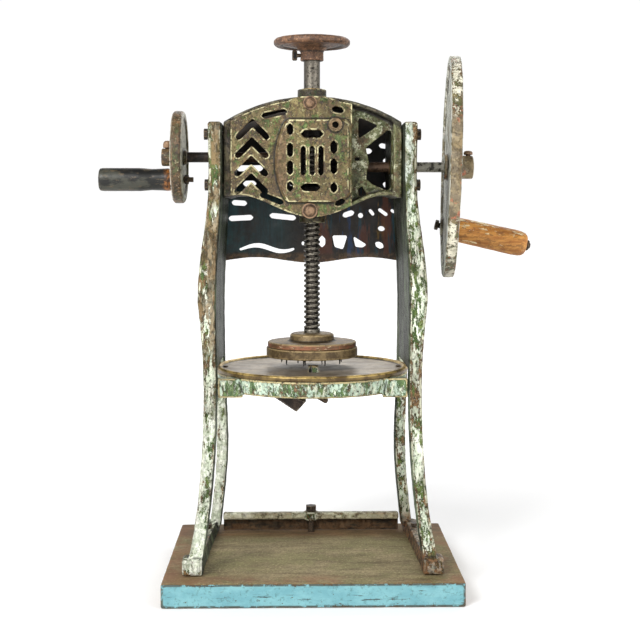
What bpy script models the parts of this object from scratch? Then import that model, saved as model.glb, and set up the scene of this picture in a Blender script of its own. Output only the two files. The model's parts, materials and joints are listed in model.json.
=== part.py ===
"""Hand-cranked shaved ice machine: a cast iron stand with two bevel drives over a bladed plate.

Units are metres, +Z up, +X to the flywheel's side and -Y to the front. The origin is the
centre of the wooden board's underside; the spindle's axis is the Z axis.
"""
import math

import bmesh
import bpy
from mathutils import Matrix, Vector

GAP = 0.0003                     # clearance between touching parts
RUNNING = 0.0004                 # clearance round a turning or sliding shaft
BOLT_SIDES = 10                  # facets round a bolt's shank and its hole

# Board
DATUM = 0.0045                   # every height below counts from this far above the board's underside
BOARD = Vector((0.4345, 0.3425, 0.031))

# Side frames: z, inner x, outer x, front y, rear y of each station, for the right-hand frame
FRONT_LEG = (
    (0.6905, 0.1330, 0.1542, -0.103, -0.064),
    (0.600, 0.1330, 0.1530, -0.103, -0.064),
    (0.560, 0.1345, 0.1555, -0.103, -0.070),
    (0.500, 0.1385, 0.1640, -0.105, -0.079),
    (0.435, 0.1410, 0.1695, -0.108, -0.081),
    (0.384, 0.1408, 0.1650, -0.105, -0.081),
    (0.333, 0.1405, 0.1620, -0.102, -0.080),
    (0.285, 0.1403, 0.1612, -0.101, -0.079),
    (0.230, 0.1415, 0.1625, -0.103, -0.081),
    (0.165, 0.1455, 0.1660, -0.109, -0.087),
    (0.110, 0.1510, 0.1715, -0.118, -0.095),
    (0.050, 0.1590, 0.1820, -0.133, -0.108),
)
REAR_LEG = (
    (0.6905, 0.1330, 0.1500, 0.086, 0.110),
    (0.560, 0.1345, 0.1520, 0.086, 0.110),
    (0.435, 0.1400, 0.1600, 0.087, 0.110),
    (0.333, 0.1395, 0.1580, 0.087, 0.110),
    (0.285, 0.1380, 0.1560, 0.086, 0.109),
    (0.184, 0.1342, 0.1535, 0.087, 0.109),
    (0.120, 0.1385, 0.1570, 0.095, 0.117),
    (0.040, 0.1480, 0.1670, 0.112, 0.135),
)
LEG_SECTIONS = 18
LEG_BEVEL = 0.003
WEB_THICKNESS = 0.008
WEB_INSET = 0.0006               # the web's inner face stands back from the legs'
WEB_Y = (-0.090, 0.098)
WEB_BOTTOM = 0.324
RAIL_TOP = 0.050
FOOT_BLOCK = (Vector((0.1585, -0.137, BOARD.z + GAP)), Vector((0.1905, -0.104, 0.056)))
CROSS_BAR_Z = (0.051, 0.0625)
CROSS_BAR_Y = (0.114, 0.128)
CROSS_WEB_Y = (0.1266, 0.1310)   # the upright plate under the bar's rear edge
FOOT_SCREWS = (Vector((0.1720, -0.055, 0.0)), Vector((0.1660, 0.075, 0.0)))
HOUSING_BOLTS = {"front_upper": (-0.0735, 0.673), "front_lower": (-0.0735, 0.598), "rear": (0.0755, 0.632)}
TRAY_BOLTS = {"front": -0.090, "rear": 0.096}
TRAY_BOLT_Z = 0.300
BACK_BOLT_Z = 0.600
BACK_BOLT_X = 0.1405

# Gear housing, its cover and the openwork back plate
HOUSING_HALF_WIDTH = 0.1320
HOUSING_SIDE_WALL = 0.0125
HOUSING_RIM = 0.006
HOUSING_Y = (-0.083, 0.094)
CROWN_TOP = 0.729
CROWN_SIDE = 0.691
BELLY_BOTTOM = 0.550
BELLY_SIDE = 0.583
BELLY_HALF_SPAN = 0.107
BELLY_CURL = 8.0                 # how fast the underside drops again towards the side walls
RECESS_Y = (-0.062, -0.056)
COVER_X = (-0.121, 0.058)
COVER_THICKNESS = 0.0072
PANEL_X = (-0.056, 0.0572)
PANEL_Z = (0.572, 0.694)
PANEL_RISE = 0.0065
BACK_PLATE_Y = (0.1103, 0.1143)
BACK_PLATE_HALF_WIDTH = 0.1460
BACK_PLATE_TOP = (0.688, 0.7265)
BACK_PLATE_BOTTOM = 0.479
COLLAR_RADIUS = 0.0225
COLLAR_Z = (0.714, 0.746)
BOSS_RADIUS = 0.0205
BOSS_Z = (0.5407, 0.562)
COVER_BOLTS = ((-0.004, 0.7180), (-0.0045, 0.5598))
COVER_SLOTS = (
    # x, z, length, width and tilt of each round-ended slot
    (-0.0564, 0.7020, 0.039, 0.0080, 11.0),
    (0.0368, 0.7080, 0.019, 0.0085, -12.0),
    (-0.0603, 0.5775, 0.038, 0.0080, -21.0),
    (0.0400, 0.5720, 0.017, 0.0080, 27.0),
    (-0.0010, 0.6724, 0.033, 0.0110, 0.0),
    (-0.0033, 0.5940, 0.030, 0.0110, 0.0),
    (-0.0334, 0.6788, 0.018, 0.0085, 90.0),
    (-0.0334, 0.6489, 0.022, 0.0085, 90.0),
    (-0.0334, 0.6227, 0.022, 0.0085, 90.0),
    (-0.0334, 0.5954, 0.016, 0.0085, 90.0),
    (0.0308, 0.6529, 0.020, 0.0095, 90.0),
    (0.0308, 0.6249, 0.024, 0.0095, 90.0),
    (0.0308, 0.5936, 0.016, 0.0095, 90.0),
    (-0.0140, 0.6330, 0.044, 0.0070, 90.0),
    (-0.0010, 0.6330, 0.044, 0.0070, 90.0),
    (0.0120, 0.6330, 0.044, 0.0070, 90.0),
)
COVER_CHEVRONS = ((-0.0885, 0.6950), (-0.0895, 0.6680), (-0.0905, 0.6410), (-0.0905, 0.6150))
SIGHT_HOLE = (0.0331, 0.6857)

# Spindle, its gears and the plates it carries
SPINDLE_RADIUS = 0.0125
SPINDLE_Z = (0.352, 0.8255)
KEYWAY_HALF_WIDTH = 0.0025
KEYWAY_FLOOR = 0.0097
BUSH_RADIUS = 0.0165
MODULE = 0.004
PINION_TEETH = 12
GEAR_TEETH = 18
GEAR_FACE = 0.014
GEAR_HUB_RADIUS = 0.022
UPPER_PLATE_RADIUS = 0.0685
LOWER_PLATE_RADIUS = 0.0705
LOWER_PLATE_Z = (0.335, 0.3497)
SPIKE_RINGS = ((0.022, 5, 0.0125), (0.047, 9, 0.0110))     # ring radius, count, length

# Flywheel drive (right) and feed crank (left)
SHAFT_RADIUS = 0.008
FLYWHEEL_AXIS_Z = 0.627
FEED_AXIS_Z = 0.642
FLYWHEEL_X = 0.215
FLYWHEEL_RADIUS = 0.1705
FLYWHEEL_YAW = math.radians(-4.5)
FLYWHEEL_ROLL = math.radians(1.6)
CRANK_X = (-0.2130, -0.1950)
CRANK_TIP_X = -0.2314            # the hub's outer end
CRANK_SCREW_X = -0.2225
CRANK_RADIUS = 0.071
BLACK_GRIP_AT = (0.012, 0.608)
WOOD_GRIP_START = Vector((0.2350, 0.112, 0.5300))
WOOD_GRIP_AXIS = Vector((0.974, -0.060, -0.220)).normalized()
WOOD_GRIP_LENGTH = 0.120

# Tray and blade
TRAY_RADIUS = 0.1465              # of the ring's upper edge; its band narrows downwards
TRAY_Z = (0.289, 0.3135)
TRAY_EAR_BOTTOM = 0.2845
ICE_PLATE_RADIUS = 0.1487
ICE_PLATE_TOP = 0.3180            # the dish's floor, inside its raised rim
ICE_PLATE_RIM = 0.3222
SLOT_X = (-0.005, 0.009)
SLOT_Y = (-0.066, 0.020)
PLATE_SCREWS = {"left": -0.1335, "right": 0.1335}
BLADE_SLOPE = Vector((0.497, 0.0, 0.868))            # from the blade's heel to its edge
BLADE_BED = Vector((-0.0040, 0.0, 0.3130))           # the bed's top corner, under the slot

MATERIALS = {
    "board_wood": ((0.33, 0.27, 0.17), 0.85, 0.0),
    "frame_paint": ((0.55, 0.62, 0.48), 0.60, 0.0),
    "housing_paint": ((0.24, 0.21, 0.11), 0.50, 0.2),
    "back_plate_paint": ((0.05, 0.07, 0.07), 0.50, 0.1),
    "tray_paint": ((0.42, 0.52, 0.38), 0.60, 0.0),
    "ice_plate_bronze": ((0.42, 0.34, 0.22), 0.35, 0.8),
    "blade_steel": ((0.25, 0.23, 0.22), 0.35, 1.0),
    "spindle_steel": ((0.20, 0.18, 0.16), 0.40, 1.0),
    "handwheel_rust": ((0.30, 0.15, 0.08), 0.65, 0.3),
    "pressure_bronze": ((0.27, 0.22, 0.12), 0.50, 0.6),
    "crank_paint": ((0.30, 0.24, 0.15), 0.60, 0.2),
    "flywheel_paint": ((0.55, 0.52, 0.40), 0.60, 0.0),
    "black_grip": ((0.03, 0.03, 0.03), 0.45, 0.0),
    "grip_wood": ((0.60, 0.30, 0.10), 0.60, 0.0),
    "shaft_steel": ((0.26, 0.20, 0.16), 0.45, 0.9),
    "fastener_steel": ((0.12, 0.10, 0.08), 0.55, 0.8),
    "gear_iron": ((0.14, 0.13, 0.12), 0.50, 0.9),
    "bush_bronze": ((0.45, 0.33, 0.15), 0.40, 0.9),
}


# ---------------------------------------------------------------- shape helpers

def settle(obj):
    """Replaces an object's mesh with its evaluated one and clears its modifiers."""
    depsgraph = bpy.context.evaluated_depsgraph_get()
    mesh = bpy.data.meshes.new_from_object(obj.evaluated_get(depsgraph))
    obj.modifiers.clear()
    obj.data = mesh
    return obj


def mesh_object(name, bm):
    mesh = bpy.data.meshes.new(name)
    bmesh.ops.recalc_face_normals(bm, faces=bm.faces)
    bm.to_mesh(mesh)
    bm.free()
    obj = bpy.data.objects.new(name, mesh)
    PARTS.objects.link(obj)
    return obj


def aim(point, direction):
    """The matrix that takes the origin to a point and +Z to a direction."""
    turn = Vector(direction).to_track_quat("Z", "Y").to_matrix().to_4x4()
    return Matrix.Translation(point) @ turn


def box(name, low, high, bevel=0.0, segments=2):
    low, high = Vector(low), Vector(high)
    bm = bmesh.new()
    scale = Matrix.Diagonal((high - low).to_4d())
    scale[3][3] = 1.0
    bmesh.ops.create_cube(bm, size=1.0, matrix=Matrix.Translation((low + high) / 2) @ scale)
    obj = mesh_object(name, bm)
    return round_edges(obj, bevel, segments) if bevel else obj


def round_edges(obj, width, segments=2, angle=40.0):
    bevel = obj.modifiers.new("round", "BEVEL")
    bevel.width = width
    bevel.segments = segments
    bevel.limit_method = "ANGLE"
    bevel.angle_limit = math.radians(angle)
    return settle(obj)


def rod(name, start, end, radius, end_radius=None, segments=24):
    start, end = Vector(start), Vector(end)
    bm = bmesh.new()
    bmesh.ops.create_cone(
        bm, cap_ends=True, segments=segments, depth=(end - start).length, radius1=radius,
        radius2=radius if end_radius is None else end_radius, matrix=aim((start + end) / 2, end - start))
    return mesh_object(name, bm)


def turned(name, profile, base, direction, steps=32, bored=False):
    """A profile of (radius, height) points turned about the line through base along direction."""
    bm = bmesh.new()
    points = [bm.verts.new((radius, 0.0, height)) for radius, height in profile]
    pairs = list(zip(points, points[1:]))
    if bored:
        pairs.append((points[-1], points[0]))
    for pair in pairs:
        bm.edges.new(pair)
    obj = mesh_object(name, bm)
    screw = obj.modifiers.new("turn", "SCREW")
    screw.steps = screw.render_steps = steps
    screw.use_merge_vertices = True
    screw.merge_threshold = 0.00001
    settle(obj)
    obj.data.transform(aim(base, direction))
    return fix_normals(obj)


def fix_normals(obj):
    bm = bmesh.new()
    bm.from_mesh(obj.data)
    bmesh.ops.recalc_face_normals(bm, faces=bm.faces)
    bm.to_mesh(obj.data)
    bm.free()
    return obj


def plate(name, outlines, near_y, far_y):
    """A plate standing in the XZ plane; the first outline is its edge and the others are holes."""
    curve = bpy.data.curves.new(name, "CURVE")
    curve.dimensions = "2D"
    curve.fill_mode = "BOTH"
    curve.extrude = (far_y - near_y) / 2
    for outline in outlines:
        spline = curve.splines.new("POLY")
        spline.points.add(len(outline) - 1)
        for point, (x, z) in zip(spline.points, outline):
            point.co = (x, z, 0.0, 1.0)
        spline.use_cyclic_u = True
    flat = bpy.data.objects.new(name, curve)
    PARTS.objects.link(flat)
    stand = Matrix.Translation((0.0, (near_y + far_y) / 2, 0.0)) @ Matrix.Rotation(math.pi / 2, 4, "X")
    mesh = bpy.data.meshes.new_from_object(flat.evaluated_get(bpy.context.evaluated_depsgraph_get()))
    bpy.data.objects.remove(flat)
    bm = bmesh.new()
    bm.from_mesh(mesh)
    bmesh.ops.remove_doubles(bm, verts=bm.verts, dist=0.000005)
    bmesh.ops.transform(bm, matrix=stand, verts=bm.verts)
    return mesh_object(name, bm)


def loft(name, sections):
    """A solid through closed sections that all have the same number of points."""
    bm = bmesh.new()
    rings = [[bm.verts.new(point) for point in section] for section in sections]
    count = len(rings[0])
    for low, high in zip(rings, rings[1:]):
        for i in range(count):
            j = (i + 1) % count
            bm.faces.new((low[i], low[j], high[j], high[i]))
    bm.faces.new(rings[0])
    bm.faces.new(rings[-1])
    return mesh_object(name, bm)


def combine(obj, others, operation):
    """A Boolean of an object with others, which are used up."""
    for other in others:
        modifier = obj.modifiers.new("combine", "BOOLEAN")
        modifier.operation = operation
        modifier.object = other
        modifier.solver = "EXACT"
    settle(obj)
    for other in others:
        bpy.data.objects.remove(other)
    return obj


def join(obj, *others):
    return combine(obj, others, "UNION")


def cut(obj, *others):
    return combine(obj, others, "DIFFERENCE")


def interpolate(stations, height):
    """A smooth section at a height from stations that run from high to low."""
    for k in range(len(stations) - 1):
        if height >= stations[k + 1][0] or k == len(stations) - 2:
            break
    before = stations[max(k - 1, 0)]
    first, second = stations[k], stations[k + 1]
    after = stations[min(k + 2, len(stations) - 1)]
    span = second[0] - first[0]
    t = (height - first[0]) / span
    values = []
    for a, b, c, d in zip(before[1:], first[1:], second[1:], after[1:]):
        slope_b = (c - a) / ((second[0] - before[0]) or span) * span
        slope_c = (d - b) / ((after[0] - first[0]) or span) * span
        values.append(
            (2 * t ** 3 - 3 * t ** 2 + 1) * b + (t ** 3 - 2 * t ** 2 + t) * slope_b
            + (3 * t ** 2 - 2 * t ** 3) * c + (t ** 3 - t ** 2) * slope_c)
    return values


# ---------------------------------------------------------------- outlines in the XZ plane

def arc(x, z, radius, start, end, count):
    """Points on an arc, from a start angle to an end angle in degrees."""
    turns = [math.radians(start + (end - start) * i / (count - 1)) for i in range(count)]
    return [(x + radius * math.cos(a), z + radius * math.sin(a)) for a in turns]


def circle(x, z, radius, count=10):
    return arc(x, z, radius, 0.0, 360.0, count + 1)[:-1]


def stadium(x, z, length, width, angle=0.0, count=3):
    """A slot with round ends; angle is its tilt from the X axis in degrees."""
    half = (length - width) / 2
    tilt = math.radians(angle)
    ends = ((half, -90.0), (-half, 90.0))
    points = []
    for offset, start in ends:
        centre_x = x + offset * math.cos(tilt)
        centre_z = z + offset * math.sin(tilt)
        points += arc(centre_x, centre_z, width / 2, start + angle, start + 180.0 + angle, count)
    return points


def chevron(x, z, reach, width):
    """An arrow slot pointing up, with its outer corner at (x, z) and arms at 45 degrees."""
    radius = width / 2
    drop = radius * math.sqrt(2.0)
    right_x, left_x = x + reach, x - reach
    arm_z = z - drop - reach
    return (
        [(x, z)]
        + arc(right_x, arm_z, radius, 45.0, -135.0, 4)
        + [(x, z - 2 * drop)]
        + arc(left_x, arm_z, radius, -45.0, -225.0, 4)
    )


def crown_z(x, inset=0.0):
    """The height of the housing's arched top at x."""
    rise = CROWN_TOP - CROWN_SIDE
    radius = (HOUSING_HALF_WIDTH ** 2 + rise ** 2) / (2 * rise)
    return CROWN_TOP - radius + math.sqrt((radius - inset) ** 2 - x ** 2)


def belly_z(x, inset=0.0):
    """The height of the housing's curved underside at x."""
    share = min(abs(x) / BELLY_HALF_SPAN, 1.0)
    drop = (0.5 + 0.5 * math.cos(math.pi * share)) ** 0.85
    past = max(abs(x) - BELLY_HALF_SPAN, 0.0)
    return BELLY_SIDE - (BELLY_SIDE - BELLY_BOTTOM) * drop - BELLY_CURL * past ** 2 + inset


def crown_outline(left, right, inset, count=22):
    """The housing's outline between two x values, inset from its outer edge at top and bottom."""
    steps = [left + (right - left) * i / (count - 1) for i in range(count)]
    top = [(x, crown_z(x, inset)) for x in reversed(steps)]
    return [(x, belly_z(x, inset)) for x in steps] + top


# ---------------------------------------------------------------- finishing

def finish(obj, name, slot, pivot=None):
    """Names a part, gives it its material and puts its origin on its pivot."""
    obj.name = obj.data.name = name
    obj.data.materials.clear()
    obj.data.materials.append(bpy.data.materials[slot])
    obj.data.shade_smooth()
    obj.data.set_sharp_from_angle(angle=math.radians(35.0))
    obj.data.transform(Matrix.Translation((0.0, 0.0, DATUM)))
    if pivot is not None:
        obj.data.transform(Matrix.Translation(-pivot.location))
        obj.parent = pivot
    return obj


def pivot_empty(name, location, parent=None):
    empty = bpy.data.objects.new(name, None)
    empty.empty_display_size = 0.02
    empty.location = Vector(location) + Vector((0.0, 0.0, DATUM))
    PARTS.objects.link(empty)
    if parent is not None:
        empty.parent = parent
        empty.matrix_parent_inverse = Matrix.Translation(-parent.location)
    return empty


def make_materials():
    for name, (colour, roughness, metallic) in MATERIALS.items():
        made = bpy.data.materials.new(name)
        made.use_nodes = True
        shader = made.node_tree.nodes["Principled BSDF"]
        shader.inputs["Base Color"].default_value = (*colour, 1.0)
        shader.inputs["Roughness"].default_value = roughness
        shader.inputs["Metallic"].default_value = metallic


# ---------------------------------------------------------------- stand

def leg(name, stations, side):
    sections = []
    top, bottom = stations[0][0], stations[-1][0]
    for i in range(LEG_SECTIONS):
        z = top + (bottom - top) * i / (LEG_SECTIONS - 1)
        inner, outer, front, rear = interpolate(stations, z)
        corners = ((inner, front), (outer, front), (outer, rear), (inner, rear))
        sections.append([(side * x, y, z) for x, y in corners])
    return round_edges(loft(name, sections), LEG_BEVEL, 1)


def web(side):
    sections = []
    top = FRONT_LEG[0][0] - 0.001
    count = 12
    for i in range(count):
        z = top + (WEB_BOTTOM - top) * i / (count - 1)
        inner = interpolate(FRONT_LEG, z)[0] + WEB_INSET
        outer = inner + WEB_THICKNESS
        corners = ((inner, WEB_Y[0]), (outer, WEB_Y[0]), (outer, WEB_Y[1]), (inner, WEB_Y[1]))
        sections.append([(side * x, y, z) for x, y in corners])
    return loft("web", sections)


def foot_rail(side):
    """The rail on the board: its section narrows and draws inwards towards the rear."""
    sections = []
    for y, inner, outer in ((-0.125, 0.1600, 0.1880), (0.020, 0.1560, 0.1820), (0.138, 0.1505, 0.1765)):
        corners = ((inner, BOARD.z + GAP), (outer, BOARD.z + GAP), (outer, 0.046), (inner + 0.004, RAIL_TOP))
        sections.append([(side * x, y, z) for x, z in corners])
    return loft("rail", sections)


def side_frame(name, side, axis_z):
    frame = leg("front_leg", FRONT_LEG, side)
    low, high = FOOT_BLOCK
    block = box("block", (min(side * low.x, side * high.x), low.y, low.z),
                (max(side * low.x, side * high.x), high.y, high.z), 0.003, 1)
    boss = rod("boss", (side * 0.1345, 0, axis_z), (side * 0.1525, 0, axis_z), 0.020)
    join(frame, leg("rear_leg", REAR_LEG, side), web(side), foot_rail(side), block, boss)
    cutters = [rod("bore", (side * 0.12, 0, axis_z), (side * 0.16, 0, axis_z), 0.011 + GAP)]
    for y, z in HOUSING_BOLTS.values():
        cutters.append(rod("bore", (side * 0.12, y, z), (side * 0.18, y, z), 0.0043, segments=BOLT_SIDES))
    for y in TRAY_BOLTS.values():
        cutters.append(rod("bore", (side * 0.12, y, TRAY_BOLT_Z), (side * 0.18, y, TRAY_BOLT_Z), 0.0043,
                           segments=BOLT_SIDES))
    for spot in FOOT_SCREWS:
        x = side * spot.x
        cutters.append(rod("bore", (x, spot.y, 0.02), (x, spot.y, 0.07), 0.0038, segments=BOLT_SIDES))
    x = side * BACK_BOLT_X
    cutters.append(rod("bore", (x, 0.099, BACK_BOLT_Z), (x, 0.12, BACK_BOLT_Z), 0.0033, segments=BOLT_SIDES))
    cut(frame, *cutters)
    finish(frame, name, "frame_paint")


def hex_bolt(name, seat, direction, length, radius, head_radius, head_height, slot="fastener_steel",
             pivot=None, sides=6, domed=False):
    """A bolt whose head stands on a seat; direction points out of the seat."""
    seat, direction = Vector(seat), Vector(direction).normalized()
    bolt = rod("shank", seat - direction * length, seat + direction * 0.001, radius, segments=BOLT_SIDES)
    base = seat + direction * GAP
    if domed:
        shape = [(0.0, 1.0), (0.36, 0.95), (0.56, 0.76), (0.66, 0.42), (0.70, 0.27), (0.94, 0.25), (1.0, 0.18), (1.0, 0.0)]
        dome = [(share * head_radius, level * head_height) for share, level in shape]
        head = turned("head", dome + [(0.0, 0.0)], base, direction, 20)
    else:
        head = rod("head", base, base + direction * head_height, head_radius, segments=sides)
    return finish(join(bolt, head), name, slot, pivot)


def stand():
    board = box("board", (-BOARD.x / 2, -BOARD.y / 2, -DATUM), (BOARD.x / 2, BOARD.y / 2, BOARD.z), 0.0015, 1)
    holes = [rod("hole", (side * s.x, s.y, 0.010), (side * s.x, s.y, 0.04), 0.0038, segments=BOLT_SIDES)
             for side in (-1, 1) for s in FOOT_SCREWS]
    bar_y = sum(CROSS_BAR_Y) / 2
    holes.append(rod("hole", (0, bar_y, 0.010), (0, bar_y, 0.04), 0.0053, segments=16))
    finish(cut(board, *holes), "base_board", "board_wood")
    side_frame("left_side_frame", -1, FEED_AXIS_Z)
    side_frame("right_side_frame", 1, FLYWHEEL_AXIS_Z)
    for side, word in ((-1, "left"), (1, "right")):
        for end, spot in zip(("front", "rear"), FOOT_SCREWS):
            seat = (side * spot.x, spot.y, RAIL_TOP + 0.0004)
            hex_bolt(f"foot_screw_{word}_{end}", seat, (0, 0, 1), 0.036, 0.0035, 0.0065, 0.0045)
        for place, (y, z) in HOUSING_BOLTS.items():
            inner, outer, _, _ = interpolate(FRONT_LEG, z)
            post = outer if y < 0 else inner + WEB_INSET + WEB_THICKNESS
            hex_bolt(f"housing_bolt_{word}_{place}", (side * (post + 0.0008), y, z), (side, 0, 0),
                     post - 0.1220, 0.0040, 0.0085, 0.006)
        for place, y in TRAY_BOLTS.items():
            stations = FRONT_LEG if y < 0 else REAR_LEG
            outer = interpolate(stations, TRAY_BOLT_Z)[1]
            bolt = rod("shank", (side * 0.1225, y, TRAY_BOLT_Z), (side * outer, y, TRAY_BOLT_Z), 0.0040,
                       segments=BOLT_SIDES)
            finish(bolt, f"tray_bolt_{word}_{place}", "fastener_steel")
    cross_bar(bar_y)


def cross_bar(bar_y):
    low, high = CROSS_BAR_Z
    half = min(interpolate(REAR_LEG, low)[0], interpolate(REAR_LEG, high)[0]) - 2 * GAP
    bar = box("bar", (-half, CROSS_BAR_Y[0], low), (half, CROSS_BAR_Y[1], high), 0.002, 1)
    eye = rod("eye", (0, bar_y, low - 0.001), (0, bar_y, high + 0.0015), 0.0115)
    web_plate = box("web", (-half, CROSS_WEB_Y[0], BOARD.z + GAP), (half, CROSS_WEB_Y[1], high - 0.003))
    join(bar, eye, web_plate)
    cut(bar, rod("hole", (0, bar_y, low - 0.01), (0, bar_y, high + 0.01), 0.0053, segments=16))
    finish(bar, "rear_cross_bar", "frame_paint")
    hex_bolt("cross_bar_bolt", (0, bar_y, high + 0.0015 + GAP), (0, 0, 1), high - 0.0115, 0.005, 0.0095, 0.009)


# ---------------------------------------------------------------- housing, cover and back plate

def gear_housing():
    wall = HOUSING_HALF_WIDTH
    inner = wall - HOUSING_SIDE_WALL
    outer_edge = crown_outline(-wall, wall, 0.0, 17)
    inner_edge = crown_outline(-inner, inner, HOUSING_RIM, 15)
    shell = plate("shell", (outer_edge, inner_edge), *HOUSING_Y)
    join(
        shell,
        rod("collar", (0, 0, COLLAR_Z[0]), (0, 0, COLLAR_Z[1]), COLLAR_RADIUS),
        rod("lower_boss", (0, 0, BOSS_Z[0]), (0, 0, BOSS_Z[1]), BOSS_RADIUS),
        recess_face(inner),
        box("upper_lug", (-0.012, HOUSING_Y[0], 0.7120), (0.004, -0.066, 0.7255)),
        box("lower_lug", (-0.013, HOUSING_Y[0], 0.5520), (0.004, -0.066, 0.5690)))
    cutters = [
        rod("bore", (0, 0, 0.50), (0, 0, 0.60), BUSH_RADIUS + GAP),
        rod("bore", (0, 0, 0.70), (0, 0, 0.76), BUSH_RADIUS + GAP),
        rod("bore", (0.10, 0, FLYWHEEL_AXIS_Z), (0.15, 0, FLYWHEEL_AXIS_Z), 0.011 + GAP),
        rod("bore", (-0.15, 0, FEED_AXIS_Z), (-0.10, 0, FEED_AXIS_Z), 0.011 + GAP),
    ]
    for side in (-1, 1):
        for y, z in HOUSING_BOLTS.values():
            cutters.append(rod("bore", (side * 0.11, y, z), (side * 0.15, y, z), 0.0043, segments=BOLT_SIDES))
    for x, z in COVER_BOLTS:
        cutters.append(rod("bore", (x, -0.10, z), (x, -0.05, z), 0.0038, segments=BOLT_SIDES))
    finish(cut(shell, *cutters), "gear_housing", "housing_paint")


def recess_face(inner):
    """The spoked wall at the right of the cover, set back from the rim."""
    edge = crown_outline(COVER_X[1] - 0.004, inner + 0.002, HOUSING_RIM - 0.002, 8)
    upper_window = [(0.0690, 0.6990), (0.0980, 0.6870), (0.0690, 0.6680)]
    fan = [(0.0800, 0.6540), (0.1120, 0.6790), (0.1175, 0.6800), (0.1180, 0.5960), (0.1120, 0.5900),
           (0.0905, 0.5990), (0.0800, 0.6080), (0.0850, 0.6310)]
    small_window = [(0.0680, 0.5920), (0.0740, 0.5960), (0.0815, 0.5830), (0.0700, 0.5800)]
    side_window = stadium(0.0665, 0.6370, 0.009, 0.0055)
    return plate("recess", (edge, upper_window, fan, small_window, side_window), *RECESS_Y)


def front_cover():
    rear = HOUSING_Y[0] - GAP
    front = rear - COVER_THICKNESS
    left, right = COVER_X
    count = 18
    steps = [left + (right - left) * i / (count - 1) for i in range(count)]
    neck = 0.0235
    top = []
    for x in reversed(steps):
        lift = 0.0045 * max(0.0, 1.0 - max(0.0, abs(x + 0.001) - neck) / 0.012)
        top.append((x, crown_z(x, 0.005) + lift))
    edge = [(x, belly_z(x)) for x in steps] + top
    cover = plate("cover", (edge,), front, rear)
    low_z, high_z = PANEL_Z
    left_bulge = [(PANEL_X[0] + 0.016 * abs(t) ** 2.2, (low_z + high_z) / 2 + t * (high_z - low_z) / 2)
                  for t in (1.0, 0.75, 0.5, 0.25, 0.0, -0.25, -0.5, -0.75, -1.0)]
    panel_edge = left_bulge + [(PANEL_X[1] - 0.014, low_z), (PANEL_X[1], low_z + 0.012),
                               (PANEL_X[1], high_z - 0.006), (PANEL_X[1] - 0.008, high_z)]
    panel = round_edges(plate("panel", (panel_edge,), front - PANEL_RISE, front + 0.002), 0.005, 1)
    ring = rod("ring", (SIGHT_HOLE[0], front - PANEL_RISE - 0.0030, SIGHT_HOLE[1]),
               (SIGHT_HOLE[0], front + 0.001, SIGHT_HOLE[1]), 0.0104)
    join(cover, panel, ring)
    near, far = front - 0.02, rear + 0.01
    cutters = [plate("slot", (stadium(*slot),), near, far) for slot in COVER_SLOTS]
    cutters += [plate("slot", (chevron(x, z, 0.0205, 0.0088),), near, far) for x, z in COVER_CHEVRONS]
    cutters.append(plate("slot", (circle(*SIGHT_HOLE, 0.0048),), near, far))
    cutters += [plate("slot", (circle(x, z, 0.0038),), near, far) for x, z in COVER_BOLTS]
    finish(cut(cover, *cutters), "front_cover", "housing_paint")
    for place, (x, z), radius in zip(("upper", "lower"), COVER_BOLTS, (0.0105, 0.0120)):
        hex_bolt(f"cover_bolt_{place}", (x, front - 0.0003, z), (0, -1, 0), 0.020, 0.0035, radius, 0.0075,
                 domed=True)


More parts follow.
